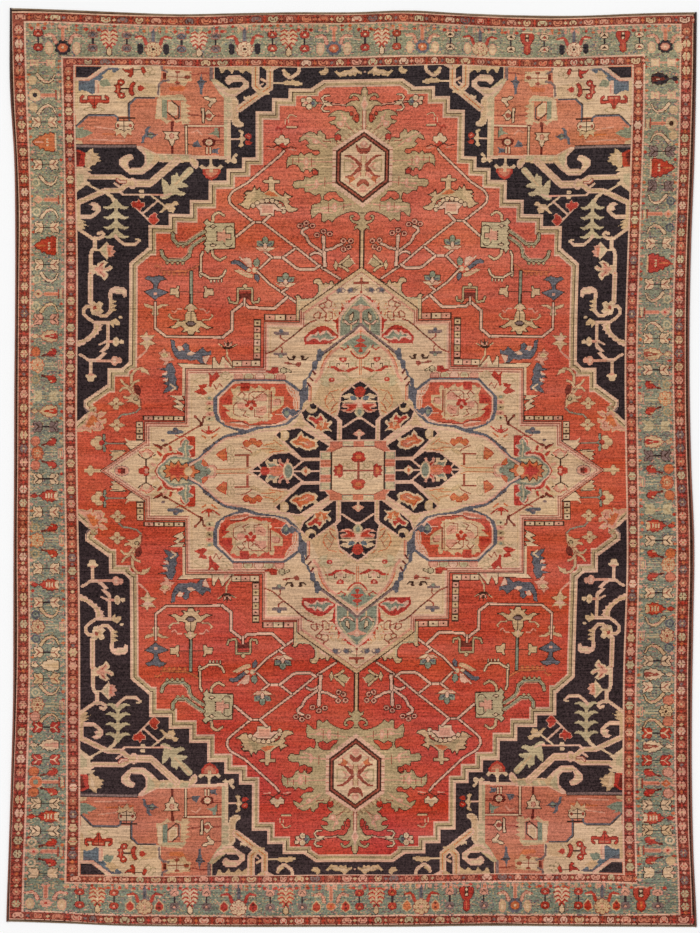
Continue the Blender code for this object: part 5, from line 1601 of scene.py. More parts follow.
            a = math.pi * (k + 0.5) / 4
            dot(second, 3.2 * math.cos(a), -9.5 + 2.8 * math.sin(a), 0.7)
        dot(second, 0, -9.5, 1.5)
        for px in (-1.6, 1.6):
            c.line("sage", at([(px, -2), (px, 10)]), 1)
        c.line("rose", at("-4.2,11.5 -4.2,15.5 4.2,15.5 4.2,11.5 -4.2,11.5"), 0.9)
        c.line("camel", at("-2.8,13.5 2.8,13.5"), 1.5)
    elif kind == "tower":
        c.area(first, at("-7,-11.5 0,-9 7,-11.5 8,-3 7,1 3.5,5 -3.5,5 -7,1 -8,-3"))
        for py, half in ((-10.5, 7.5), (-6.3, 8.4), (-2.1, 7.8), (2.1, 6), (5.8, 3)):
            for s in (-1, 1):
                c.line("crimson", at([(0, py + 2), (s * half * 0.5, py - 1), (s * half, py + 1)]), 1.5)
        for py in (-9.6, -5.2, -0.8):
            c.area("ivory", at([(0, py - 1.3), (1.5, py), (0, py + 1.3), (-1.5, py)]))
        c.line("brick", at("0,3.5 0,7"), 1)
        c.area("ivory" if first == "ivory" else "camel", at("0,4.6 -2.8,9 -2.9,12.6 0,15 2.9,12.6 2.8,9"),
            "umber", 0.8)
    elif kind == "heart":
        c.area(first, at("-7.4,-9.6 -5,-11.6 0,-10.6 5,-11.6 7.4,-9.6 7.2,-5 5,-0.4 2.8,2 3.8,6 3.4,10.5 0,13 "
            "-3.4,10.5 -3.8,6 -2.8,2 -5,-0.4 -7.2,-5"), "wine", 0.8)
        c.line(second, at("-5,-12 0,-12.6 5,-12"), 1.6)
        c.area("umber", at("-2,-10 2,-10 2,-2 -2,-2"))
        for py in (-8.4, -3.6):
            dot("ivory", 0, py, 1.5, 1.3)
        c.line("orange", at("0,3 0,9"), 1.3)
    elif kind == "crown":
        c.line("slate" if first in ("camel", "ivory") else "salmon", at("0,-12 0,0"), 2.6, None,
            "mauve" if first in ("camel", "ivory") else "rose", 0.6)
        for s in (-1, 1):
            dot("rose", 2.4 * s, -13, 1.6, 1.8)
            c.line("camel", at([(6 * s, -14), (6 * s, -9.5)]), 1)
        if second in ("navy", "slate") and first in ("orange", "rose"):
            for k in range(8):
                a = math.pi * (k + 0.5) / 4
                dot(second, 5.4 * math.cos(a), 7 + 5.2 * math.sin(a), 2.4, 2.4)
            dot(first, 0, 7, 4.2, 3.6, "brick")
            dot("ivory", 0, 7, 1.3)
        elif first in ("camel", "ivory"):
            for k in range(8):
                a = math.pi * k / 4
                dot(first, 5.6 * math.cos(a), 7.6 + 5 * math.sin(a), 2.8, 2.6, "brick")
            dot(first, 0, 7.6, 5.6, 5)
            for k in range(8):
                a = math.pi * (k + 0.5) / 4
                dot("brick", 3.6 * math.cos(a), 7.6 + 3.3 * math.sin(a), 0.7)
            dot("umber" if second == "navy" else "rose", 0, 7.6, 1.6)
        else:
            dot(first, 0, 6.5, 4.4, 3.4, "rose")
            dot("crimson", 0, 6.5, 1.4)
        for s in (False, True):
            c.line("crimson" if first in ("camel", "ivory") else "rose", at("7,1.5 8.6,-3.4 11.8,-6 "
                "17.5,-4.6", s), 3, 1.3, "brick", 0.5)
            c.line("ivory", at("11,-4 16.5,-3.4", s), 1.2)
            if second == "navy" and first in ("camel", "ivory"):
                dot("navy", 12.6 if s else -12.6, 5, 3.1, 3.4)
                dot("navy", 12.6 if s else -12.6, 9.4, 2.9, 3.4)
            elif second in ("crimson", "orange"):
                c.area(second, at("15,0.6 10.8,5 10.4,9.4 15,12.4 19.6,9.4 19.2,5", s), "camel", 1)
                for py in (4.4, 8.4):
                    dot("wine", 15 if s else -15, py, 1.2)
            else:
                dot("camel", 13.2 if s else -13.2, 7.5, 3.3, 5.6, "rose")
                dot("ivory", 13.2 if s else -13.2, 8.5, 1.4, 2.6)


def stray_knots(c, x0, y0, x1, y1, seed):
    """The border's ground as it is really knotted: streaks of other greens, greys and pinks along the rows."""
    pick = np.random.default_rng(seed)
    where, x, y = c.window([(x0, y0), (x1, y1)], 0)
    rows, columns = y.shape[0], x.shape[1]
    fine = np.repeat(pick.random((rows, columns // 2 + 1)), 2, axis=1)[:, :columns]
    patches = pick.random((rows // 5 + 1, columns // 9 + 1))
    broad = np.repeat(np.repeat(patches, 5, axis=0), 9, axis=1)[:rows, :columns]
    mix = 0.62 * fine + 0.38 * broad
    block = c.knots[where]
    for low, high, yarn in ((0, 0.17, "mauve"), (0.17, 0.19, "rose"), (0.19, 0.24, "slate"),
            (0.24, 0.3, "olive"), (0.79, 0.83, "sage"), (0.83, 0.87, "mauve"), (0.87, 0.91, "camel"),
            (0.91, 1, "rose")):
        block[(mix >= low) & (mix < high)] = CODE[yarn]
    c.knots[where] = block


def sprinkle(c, start, end, fixed, across, sides, seed):
    """Small stray flowers that fill the ground between the motifs."""
    pick = random.Random(seed)
    place = start
    while place < end:
        for side in sides:
            shift = fixed + side + pick.uniform(-0.8, 0.8)
            yarn = pick.choice(("rose", "rose", "crimson", "rose", "camel", "salmon", "orange"))
            x, y = (shift, place) if across else (place, shift)
            c.line(yarn, [(x - 1.2, y), (x + 1.2, y)], 1.5)
            c.line(yarn, [(x, y - 1.2), (x, y + 1.2)], 1.1)
        place += pick.uniform(6, 8.5)


def guard(c, start, end, fixed, across, half, seed):
    """A narrow red border: square flowers, with slanting leaves and specks between them."""
    pick = random.Random(seed)
    count = round((end - start) / (13.5 if across else 16.3))
    step = (end - start) / count
    for k in range(count):
        place = start + step * (k + 0.5)
        x, y = (fixed, place) if across else (place, fixed)
        long, short = (4.3, half - 0.7) if across else (5.4, half - 0.6)
        rx, ry = (short, long) if across else (long, short)
        yarn = pick.choice(("rose", "camel", "salmon", "rose", "peach", "salmon", "rose", "camel", "mauve",
            "salmon", "sage"))
        heart = pick.choice(("brick", "wine", "brick", "crimson"))
        if across:
            petals = []
            for n in range(12):
                a, r = math.pi * n / 6, 0.95 if n % 2 else 1.15
                petals.append((x + rx * r * math.cos(a), y + ry * r * math.sin(a)))
            c.area(yarn, petals, "wine", 0.8)
            for px, py in ((0, 1), (0, -1), (1, 0), (-1, 0)):
                c.line(heart, [(x + px * rx * t, y + py * ry * t) for t in (0.3, 0.75)], 0.7)
            c.oval("camel" if yarn != "camel" else "rose", x, y, 1.1)
        else:
            rx *= 0.75 if k % 3 == 1 else 1
            lobes = [(-1, -0.3), (-0.85, -0.8), (-0.4, -1), (-0.1, -0.45), (0.1, -0.45), (0.4, -1),
                (0.85, -0.8), (1, -0.3), (0.95, 0.4), (0.45, 1), (-0.45, 1), (-0.95, 0.4)]
            c.area(yarn, [(x + px * rx, y + (py if k % 2 else -py) * ry) for px, py in lobes], "wine", 0.8)
            for px in (-0.5, 0.5):
                c.line(heart, [(x + px * rx, y - ry * 0.35), (x + px * rx * 0.8, y + ry * 0.35)], 0.8)
            c.line(heart, [(x - rx * 0.2, y + ry * 0.4), (x + rx * 0.2, y + ry * 0.4)], 0.8)
        edge = place + step / 2
        for s in (-1, 1):
            ends = (fixed - half, edge - 2.6 * s), (fixed + half, edge + 2.6 * s)
            c.line("wine", list(ends) if across else [end[::-1] for end in ends], 1)
        bud = pick.choice(("orange", "rose", "mauve", "salmon", "crimson", "camel"))
        x, y = (fixed, edge) if across else (edge, fixed)
        c.area(bud, [(x - 1.9, y), (x, y - 1.9), (x + 1.9, y), (x, y + 1.9)])
        for s in (-1, 1):
            px, py = (x + s * half * 0.7, y) if across else (x, y + s * half * 0.7)
            c.oval("crimson", px, py, 0.9)


def borders(c):
    """The main border, its two guards and the thin lines between them."""
    def right(place):
        return 2 * AXIS - place

    c.box("peach", 0, 0, BEYOND, BEYOND)
    c.box("umber", 0, 0, EDGE_LEFT + 1.4, BEYOND)
    c.box("umber", right(EDGE_LEFT + 1.4), 0, BEYOND, BEYOND)
    c.box("umber", 0, 0, BEYOND, EDGE_TOP + 0.9)
    c.box("umber", 0, 925, BEYOND, BEYOND)
    c.box("brick", EDGE_LEFT + 2.9, 14.6, right(EDGE_LEFT + 2.9), 924)
    c.box("peach", BAND_LEFT - 0.6, BAND_TOP - 0.6, right(BAND_LEFT - 0.6), 916.1)
    c.box("teal", BAND_LEFT + 0.9, BAND_TOP + 0.7, right(BAND_LEFT + 0.9), 915)
    for seed, (fixed, across, start, end) in enumerate(((23.8, True, 25, 914), (696.2, True, 25, 914),
            (19.3, False, 17.5, 702.5), (920.2, False, 17.5, 702.5))):
        guard(c, start, end, fixed, across, 4.6 if across else 3.9, seed)
    for seed, zone in enumerate(((30.4, 25, 689.6, 57), (30.4, 57, 63.8, 915), (656.2, 57, 689.6, 915),
            (63.8, 884, 656.2, 915))):
        stray_knots(c, *zone, seed)
    sprinkle(c, 62, 882, MID_LEFT, True, (-15, 14.5), 11)
    sprinkle(c, 62, 882, MID_RIGHT, True, (-15, 14.5), 12)
    sprinkle(c, 34, 690, 41, False, (-11, -14.5), 13)
    sprinkle(c, 66, 656, MID_BOTTOM, False, (-11, -14), 14)
    for y, kind, first, second in LEFT_SIDE:
        motif(c, kind, first, second, MID_LEFT, y, -90)
    for y, kind, first, second in RIGHT_SIDE:
        motif(c, kind, first, second, MID_RIGHT, y, 90)
    for x, kind, first, second in TOP_END:
        motif(c, kind, first, second, x, MID_TOP, 0)
    for x, kind, first, second in BOTTOM_END:
        motif(c, kind, first, second, x, MID_BOTTOM, 0)
    c.box("peach", GUARD_LEFT - 0.8, GUARD_TOP - 0.8, right(GUARD_LEFT - 0.8), 884.3)
    c.box("brick", GUARD_LEFT + 0.8, GUARD_TOP + 0.7, right(GUARD_LEFT + 0.8), 883)
    for seed, (fixed, across, start, end) in enumerate(((70.6, True, 66, 875), (649.4, True, 66, 875),
            (62.7, False, 65.5, 654.5), (879, False, 65.5, 654.5))):
        guard(c, start, end, fixed, across, 4.8 if across else 3.8, seed + 5)
    c.box("peach", FIELD_LEFT - 1.3, FIELD_TOP - 1.2, right(FIELD_LEFT - 1.3), 2 * MIDDLE - FIELD_TOP + 1.2)


def whole():
    """The whole cartoon: the borders, and the quarter with its three reflections in the field."""
    c = Chart(EDGE_LEFT, EDGE_TOP, 2 * AXIS - EDGE_LEFT, EDGE_BOTTOM, "brick")
    borders(c)
    q = quarter()
    x = c.left + (np.arange(c.columns) + 0.5) * c.pitch_x
    y = c.top + (np.arange(c.rows) + 0.5) * c.pitch_y
    # each knot's column and row in the quarter, which are below 0 out in the borders
    column = np.floor((AXIS - np.abs(x - AXIS) - q.left) / q.pitch_x).astype(int)
    row = np.floor((MIDDLE - np.abs(y - MIDDLE) - q.top) / q.pitch_y).astype(int)
    in_x, in_y = np.flatnonzero(column >= 0), np.flatnonzero(row >= 0)
    columns = np.minimum(column[in_x], q.columns - 1)
    rows = np.minimum(row[in_y], q.rows - 1)
    c.knots[np.ix_(in_y, in_x)] = q.knots[np.ix_(rows, columns)]
    return c


# ---- From the cartoon to the rug

# From the rug's edge to the rim of the pile's top, inside the 1.5 mm rounding of its own edge: sides, then ends
ROUNDING = 0.0015
PILE_INSET = (SELVEDGE + GAP + ROUNDING, WEB_WIDTH + GAP + ROUNDING)
# The rims and the bent lines, in squares
PLACES_ALONG = np.array([EDGE_LEFT, *LINES_ALONG, 2 * AXIS - EDGE_LEFT], float)
PLACES_ACROSS = np.array([EDGE_TOP, *LINES_ACROSS, EDGE_BOTTOM], float)


def through(table, share):
    """Metres at these shares, 0 to 1, of a line's length: a smooth curve through the line's table of mm."""
    values = np.array(table, float) / 1000
    last = len(values) - 1
    place = np.clip(share, 0, 1) * last
    cell = np.minimum(place.astype(int), last - 1)
    t = place - cell
    before, start, end, after = (values[np.clip(cell + k, 0, last)] for k in (-1, 0, 1, 2))
    into, out, rise = (end - before) / 2, (after - start) / 2, end - start
    return start + t * (into + t * (3 * rise - 2 * into - out + t * (into + out - 2 * rise)))


def edge(side, at):
    """X of a side's outer edge at these Y, or Y of an end's at these X."""
    at = np.asarray(at, float)
    if side in ("left", "right"):
        half, share, sign = RUG_WIDTH / 2, 0.5 + at / RUG_LENGTH, -1 if side == "left" else 1
    else:
        half, share, sign = RUG_LENGTH / 2, 0.5 + at / RUG_WIDTH, -1 if side == "bottom" else 1
    return sign * (half - through(EDGE_PULL_MM[side], share))


def lines_down(y):
    """X of the pile's two rims and of every line along the rug, at these Y, in the cartoon's order."""
    lines = [edge("left", y) + PILE_INSET[0]]
    for place, table in LINES_ALONG.items():
        lines.append(place * SQUARE + CARTOON_ORIGIN[0] + through(table, 0.5 + y / RUG_LENGTH))
    return np.stack(lines + [edge("right", y) - PILE_INSET[0]])


def line_across(k, x):
    """Y of the pile's rims or of a line across the rug at these X; k counts them in the cartoon's order."""
    if k == 0:
        return edge("top", x) - PILE_INSET[1]
    if k > len(LINES_ACROSS):
        return edge("bottom", x) + PILE_INSET[1]
    place, table = list(LINES_ACROSS.items())[k - 1]
    return CARTOON_ORIGIN[1] - place * SQUARE + through(table, 0.5 + x / RUG_WIDTH)


def lay(columns, row):
    """Where these places along one line of the cartoon lie on the rug: X and Y."""
    y = np.full(len(columns), CARTOON_ORIGIN[1] - row * SQUARE)
    k = int(np.clip(np.searchsorted(PLACES_ACROSS, row, "right") - 1, 0, len(PLACES_ACROSS) - 2))
    t = (row - PLACES_ACROSS[k]) / (PLACES_ACROSS[k + 1] - PLACES_ACROSS[k])
    cell = np.clip(np.searchsorted(PLACES_ALONG, columns, "right") - 1, 0, len(PLACES_ALONG) - 2)
    share = (columns - PLACES_ALONG[cell]) / (PLACES_ALONG[cell + 1] - PLACES_ALONG[cell])
    # where a line crosses the others depends on both, and two rounds bring them together
    for _ in range(2):
        lines = lines_down(y)
        every = np.arange(len(columns))
        x = lines[cell, every] * (1 - share) + lines[cell + 1, every] * share
        y = line_across(k, x) * (1 - t) + line_across(k + 1, x) * t
    return x, y


def unevenness(x, y):
    """A smooth rise and fall between -1 and 1, from hand clipping and from years of wear."""
    waves = ((31, 7, 0.4), (-9, 23, 1.9), (17, -29, 3.1), (5, 11, 0.9), (-41, 38, 2.2), (52, 3, 5.0))
    return sum(np.sin(a * x + b * y + c) for a, b, c in waves) / len(waves)


# ---- Meshes

# The pile is knotted in this many sections, and a run of one yarn is split at every sixteenth knot
SECTIONS = 5
LONGEST_RUN = 16
# Left free round each section's two halves in its UV square
UV_MARGIN = 0.004
# The pile's top lies this far below its full thickness, so that its rises stay within it
PILE_SLACK = 0.0005


def make_piece(name, points, faces, materials, slots=None, uv=None):
    """A mesh object at the origin with these materials, its UVs given per face corner."""
    mesh = bpy.data.meshes.new(name)
    mesh.from_pydata(points, [], faces)
    for material in materials:
        mesh.materials.append(material)
    if slots is not None:
        mesh.polygons.foreach_set("material_index", slots)
    if uv is not None:
        mesh.uv_layers.new(name="OFBake").data.foreach_set("uv", np.asarray(uv, np.float32).ravel())
    mesh.polygons.foreach_set("use_smooth", np.ones(len(mesh.polygons), dtype=bool))
    mesh.update()
    piece = bpy.data.objects.new(name, mesh)
    bpy.context.scene.collection.objects.link(piece)
    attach(piece, "root")
    return piece


def pile_section(name, chart, change, first, last, sizes, wools):
    """Knots the rows from first up to last: every run of one yarn is a strip, whose points it shares with the
    runs beside it and in the rows above and below."""
    middle = chart.columns // 2
    lines = np.zeros((chart.rows + 1, chart.columns + 1), dtype=bool)
    lines[:-1] |= change
    lines[1:] |= change
    used = lines[first:last + 1]
    ids = np.cumsum(used.ravel()).reshape(used.shape) - 1
    points = []
    for k in range(first, last + 1):
        columns = np.flatnonzero(lines[k])
        x, y = lay(chart.left + columns * chart.pitch_x, chart.top + k * chart.pitch_y)
        z = sizes.pile_thickness - PILE_SLACK + sizes.unevenness * unevenness(x, y)
        points.append(np.stack([x, y, z], axis=1))
    # corners holds each triangle's columns and rows, as the two parts of a complex number
    triangles, yarns, corners = [], [], []
    for k in range(first, last):
        breaks = np.flatnonzero(change[k])
        upper, lower = ids[k - first], ids[k - first + 1]
        row = chart.knots[k]
        for line, above in ((lines[k + 1], False), (lines[k], True)):
            stops = np.flatnonzero(line)
            start, end = stops[:-1], stops[1:]
            if above:
                far = breaks[np.searchsorted(breaks, end, "left")]
                triangles.append(np.stack([upper[start], lower[far], upper[end]], axis=1))
                corners.append(np.stack([start, far, end], axis=1) + 1j * np.array([k, k + 1, k]))
            else:
                far = breaks[np.searchsorted(breaks, start, "right") - 1]
                triangles.append(np.stack([upper[far], lower[start], lower[end]], axis=1))
                corners.append(np.stack([far, start, end], axis=1) + 1j * np.array([k, k + 1, k + 1]))
            yarns.append(row[start])
    # each half of the section fills one half of its UV square
    corners = np.concatenate(corners)
    right = (corners.real.mean(axis=1) > middle)[:, None]
    u = np.where(right, (corners.real - middle) / (chart.columns - middle), corners.real / middle)
    v = (last - corners.imag) / (last - first)
    uv = np.stack([UV_MARGIN + (1 - 2 * UV_MARGIN) * u,
                   UV_MARGIN + (0.5 - 2 * UV_MARGIN) * v + np.where(right, 0.5, 0)], axis=2)
    present, slots = np.unique(np.concatenate(yarns), return_inverse=True)
    names = list(YARNS)
    materials = [wools[names[code]] for code in present]
    piece = make_piece(name, np.concatenate(points), np.concatenate(triangles), materials, slots, uv)
    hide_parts("knotted_pile")
    return piece


def foundation(sizes, back, rim):
    """The woven back, and the side of the pile from the back up to the top's rim."""
    across, down = 70, 94
    columns = np.linspace(PLACES_ALONG[0], PLACES_ALONG[-1], across + 1)
    rows = np.linspace(PLACES_ACROSS[0], PLACES_ACROSS[-1], down + 1)
    grid = np.stack([np.stack(lay(columns, row), axis=1) for row in rows])
    wide, count = across + 1, (across + 1) * (down + 1)
    points = [np.concatenate([grid.reshape(-1, 2), np.full((count, 1), BACK_HEIGHT)], axis=1)]
    corners = [i * wide + j for i in range(down) for j in range(across)]
    faces = [(a, a + 1, a + wide + 1, a + wide) for a in corners]
    slots = [0] * len(faces)
    # the ring round the back's edge, with the way out of the rug at each of its points
    ring = [(0, j) for j in range(across)] + [(i, across) for i in range(down)]
    ring += [(down, j) for j in range(across, 0, -1)] + [(i, 0) for i in range(down, 0, -1)]
    out = [((j == across) - (j == 0), (i == 0) - (i == down)) for i, j in ring]
    previous = [i * wide + j for i, j in ring]
    # the rounded side: how far out of the back's edge it goes, and how high, up to under the top's rim
    top = sizes.pile_thickness
    for offset, height in ((0.0013, 0.0008), (ROUNDING, 0.0022), (ROUNDING, top - 0.0026),
                           (0.0011, top - 0.0014), (-0.0006, top - 0.0008)):
        places = [(*(grid[i, j] + offset * np.array(o)), height) for (i, j), o in zip(ring, out)]
        points.append(np.array(places))
        current = list(range(count, count + len(ring)))
        count += len(ring)
        for k in range(len(ring)):
            after = (k + 1) % len(ring)
            faces.append((previous[after], previous[k], current[k], current[after]))
            slots.append(1)
        previous = current
    piece = make_piece("foundation", np.concatenate(points).tolist(), faces, [back, rim], slots)
    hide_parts("knotted_pile")
    return piece


def selvedge(side, sizes, wool):
    """The outer warps of one long side, overcast with wool: every wrap is a raised, slanting turn."""
    sign = -1 if side == "left" else 1
    low = float(edge("bottom", edge(side, -RUG_LENGTH / 2)))
    high = float(edge("top", edge(side, RUG_LENGTH / 2)))
    turns = round((high - low) / sizes.wrap_pitch)
    pick = np.random.default_rng(5 if sign < 0 else 6)
    y = np.linspace(low, high, 2 * turns + 1)
    radius = SELVEDGE / 2
    middle = edge(side, y) - sign * radius
    # thick at each turn and thinner between two turns, no two quite alike, and closed in at both ends
    swell = np.where(np.arange(len(y)) % 2, 1.0, 0.86) + pick.uniform(-0.03, 0.0, len(y))
    swell[[0, -1]] = 0.6
    points, around = [], 12
    for k in range(around):
        angle = 2 * math.pi * k / around
        # each turn slants by 1.4 mm either way
        slant = np.clip(y + 0.0014 * math.sin(angle + 0.5), low, high)
        points.append(np.stack([middle + radius * swell * math.cos(angle), slant,
                                radius + radius * (0.97 * swell) * math.sin(angle)], axis=1))
    points = np.stack(points, axis=1).reshape(-1, 3)
    rings = np.arange(len(y) - 1)[:, None] * around
    first = (rings + np.arange(around)).ravel()
    second = (rings + (np.arange(around) + 1) % around).ravel()
    faces = np.stack([first, first + around, second + around, second], axis=1)
    caps = [list(range(around)), list(range(len(points) - around, len(points)))[::-1]]
    piece = make_piece("overcast_selvedge_" + side, points.tolist(), faces.tolist() + caps, [wool])
    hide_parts("selvedge_" + side)
    return piece


def end_web(end, sizes, cotton):
    """The plain-woven strip beyond the last knots: warps over and under a few picks, its outer edge a little
    ragged."""
    sign = -1 if end == "bottom" else 1
    inset = SELVEDGE + GAP
    start = float(edge("left", edge(end, -RUG_WIDTH / 2))) + inset
    stop = float(edge("right", edge(end, RUG_WIDTH / 2))) - inset
    warps = round((stop - start) / sizes.warp_pitch)
    picks = 6
    pick = np.random.default_rng(21 + sign)
    x = np.linspace(start, stop, warps + 1)
    ragged = pick.uniform(0, 0.0006, len(x))
    # each row of points: its share of the way in from the outer edge, and its heights
    rows = [(k / picks, np.where((np.arange(len(x)) + k) % 2, 0.0029, 0.0019)) for k in range(picks + 1)]
    rows += [(share, np.full(len(x), 0.0002)) for share in (1.0, 0.0)]
    points = np.concatenate([
        np.stack([x, edge(end, x) - sign * (ragged * (1 - share) + share * WEB_WIDTH), heights], axis=1)
        for share, heights in rows])
    count, wide = len(rows), len(x)
    lower = np.arange(count)[:, None] * wide + np.arange(wide - 1)
    upper = (np.arange(count)[:, None] + 1) % count * wide + np.arange(wide - 1)
    faces = np.stack([lower, upper, upper + 1, lower + 1], axis=2).reshape(-1, 4)
    caps = [[k * wide for k in range(count)], [k * wide + wide - 1 for k in range(count)][::-1]]
    if sign < 0:
        faces = faces[:, ::-1]
        caps = [c[::-1] for c in caps]
    piece = make_piece("woven_web_" + end, points.tolist(), faces.tolist() + caps, [cotton])
    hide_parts("end_web_" + end)
    return piece


# ---- Materials

def add(tree, kind, values=None, links=None, **settings):
    """Adds a node with its settings, the values of its inputs, and what its inputs are linked from."""
    made = tree.nodes.new(kind)
    for name, value in settings.items():
        setattr(made, name, value)
    for socket, value in (values or {}).items():
        made.inputs[socket].default_value = value
    for socket, source in (links or {}).items():
        tree.links.new(source, made.inputs[socket])
    return made


def new_material(name, roughness, specular, sheen):
    """A material with its surface's values set, its node tree and its shader."""
    material = bpy.data.materials.new(name)
    material.use_nodes = True
    shader = material.node_tree.nodes["Principled BSDF"]
    shader.inputs["Roughness"].default_value = roughness
    shader.inputs["Specular IOR Level"].default_value = specular
    shader.inputs["Sheen Weight"].default_value = sheen
    shader.inputs["Sheen Roughness"].default_value = 0.6
    return material, material.node_tree, shader


def shaded(tree, parts):
    """How light a colour is from place to place: these noises added up round 1, each by its own strength."""
    total, base = None, 1.0
    for source, amount in parts:
        base -= amount / 2
        links = {0: source} if total is None else {0: source, 2: total.outputs[0]}
        total = add(tree, "ShaderNodeMath", {1: amount, 2: 0.0}, links, operation="MULTIPLY_ADD")
    return add(tree, "ShaderNodeMath", {1: base}, {0: total.outputs[0]}, operation="ADD").outputs[0]


def pile_wool(what, colours):
    """Hand-spun dyed wool, knotted and clipped: a matt surface of small tufts, each a little lighter or darker,
    with bands of a slightly different dye lot across the rug, and soft patches where feet have faded it."""
    name = "wool_" + what.replace(" ", "_").replace("-", "_")
    material, tree, shader = new_material(name, 0.95, 0.05, 0.02)
    place = add(tree, "ShaderNodeTexCoord").outputs["Object"]
    height = add(tree, "ShaderNodeSeparateXYZ", links={0: place}).outputs["Y"]
    share = add(tree, "ShaderNodeMapRange", {"From Min": -1.75, "From Max": 1.75}, {"Value": height})
    drift = add(tree, "ShaderNodeValToRGB", links={"Fac": share.outputs["Result"]})
    ramp = drift.color_ramp.elements
    ramp.new(0.5)
    for stop, colour in zip(ramp, colours):
        stop.color = (*colour, 1.0)
    # bands of one dye lot run across the rug and are 60 to 200 mm high
    banded = add(tree, "ShaderNodeMapping", {"Scale": (0.45, 9.0, 1.0)}, {"Vector": place}).outputs["Vector"]
    bands = add(tree, "ShaderNodeTexNoise", {"Scale": 1.0, "Detail": 4.0, "Roughness": 0.6}, {"Vector": banded})
    # abrash: single rows and half rows of another spinning, about 120 mm long and 6 mm high
    rows = add(tree, "ShaderNodeMapping", {"Scale": (8.0, 170.0, 1.0)}, {"Vector": place}).outputs["Vector"]
    streaks = add(tree, "ShaderNodeTexNoise", {"Scale": 1.0, "Detail": 2.0, "Roughness": 0.6}, {"Vector": rows})
    # worn patches are about 300 mm wide
    patches = add(tree, "ShaderNodeTexNoise", {"Scale": 3.3, "Detail": 3.0}, {"Vector": place})
    # knots are 3.4 mm wide, and the yarn's own mottling is drawn 9 mm wide, coarser than real, so that it shows
    tufts = add(tree, "ShaderNodeTexVoronoi", {"Scale": 1 / 0.0034, "Randomness": 0.75}, {"Vector": place})
    grain = add(tree, "ShaderNodeTexNoise", {"Scale": 1 / 0.009, "Detail": 2.0, "Roughness": 0.7},
                {"Vector": place})
    one = add(tree, "ShaderNodeSeparateColor", links={0: tufts.outputs["Color"]}).outputs[0]
    # dark wool shows its spinning more than pale wool does
    lightness = (sum(colours[1]) / 3) ** (1 / 2.2)
    fine = min(3.0 - 3.4 * lightness, 2.2)
    coarse = max(1.0, 0.75 * fine)
    mottled = shaded(tree, (
        (bands.outputs[0], 0.5 * coarse), (patches.outputs[0], 0.4 * coarse), (one, 0.38 * fine),
        (grain.outputs[0], 1.1 * fine), (streaks.outputs[0], 1.5 * coarse)))
    value = add(tree, "ShaderNodeClamp", {"Min": 0.3, "Max": 2.5}, {"Value": mottled}).outputs[0]
    hue = add(tree, "ShaderNodeMapRange", {"To Min": 0.488, "To Max": 0.512}, {"Value": patches.outputs[0]})
    faded = add(tree, "ShaderNodeMapRange", {"To Min": 1.12, "To Max": 0.88}, {"Value": bands.outputs[0]})
    colour = add(tree, "ShaderNodeHueSaturation", links={
        "Hue": hue.outputs[0], "Saturation": faded.outputs[0], "Value": value, "Color": drift.outputs["Color"]})
    # pale dust and loose fibres between the tufts, which show on the dark yarns: sockets 0, 6 and 7 are the
    # share and the two colours
    dust = add(tree, "ShaderNodeMapRange", {"From Min": 0.4, "From Max": 0.65, "To Max": 0.022},
               {"Value": grain.outputs[0]})
    dusty = add(tree, "ShaderNodeMix", {7: (*hex_rgb("b8a08c"), 1.0)},
                {0: dust.outputs[0], 6: colour.outputs["Color"]}, data_type="RGBA")
    tree.links.new(dusty.outputs[2], shader.inputs["Base Color"])
    # each tuft is a low dome, drawn a little deeper than real to show
    bump = add(tree, "ShaderNodeBump", {"Strength": 0.75, "Distance": 0.0012},
               {"Height": tufts.outputs["Distance"]}, invert=True)
    tree.links.new(bump.outputs["Normal"], shader.inputs["Normal"])
    return material


def overcast_wool(colours):
    """Thick plied wool wrapped round the outer warps: dark walnut near the corners, and worn to brick brown
    between them."""
    material, tree, shader = new_material("wool_overcast_walnut", 0.9, 0.15, 0.1)
    place = add(tree, "ShaderNodeTexCoord").outputs["Object"]
    height = add(tree, "ShaderNodeSeparateXYZ", links={0: place}).outputs["Y"]
    share = add(tree, "ShaderNodeMapRange", {"From Min": -RUG_LENGTH / 2, "From Max": RUG_LENGTH / 2},
                {"Value": height})
    drift = add(tree, "ShaderNodeValToRGB", links={"Fac": share.outputs["Result"]})
    ramp = drift.color_ramp.elements
    for stop in (0.1, 0.85, 0.93):
        ramp.new(stop)
    for stop, colour in zip(ramp, colours):
        stop.color = (*colour, 1.0)
    # lengths overcast again with another wool, about 70 mm each
    repairs = add(tree, "ShaderNodeMapping", {"Scale": (1.0, 14.0, 1.0)}, {"Vector": place}).outputs["Vector"]
    lots = add(tree, "ShaderNodeTexNoise", {"Scale": 1.0, "Detail": 3.0, "Roughness": 0.7}, {"Vector": repairs})
    # the plied yarn's fibres, 1.5 mm across
    fibres = add(tree, "ShaderNodeTexNoise", {"Scale": 1 / 0.0015, "Detail": 3.0, "Roughness": 0.7},
                 {"Vector": place})
    value = shaded(tree, ((lots.outputs[0], 0.9), (fibres.outputs[0], 0.5)))
    colour = add(tree, "ShaderNodeHueSaturation", links={"Value": value, "Color": drift.outputs["Color"]})
    tree.links.new(colour.outputs["Color"], shader.inputs["Base Color"])
    bump = add(tree, "ShaderNodeBump", {"Strength": 0.5, "Distance": 0.0006}, {"Height": fibres.outputs[0]})
    tree.links.new(bump.outputs["Normal"], shader.inputs["Normal"])
    return material


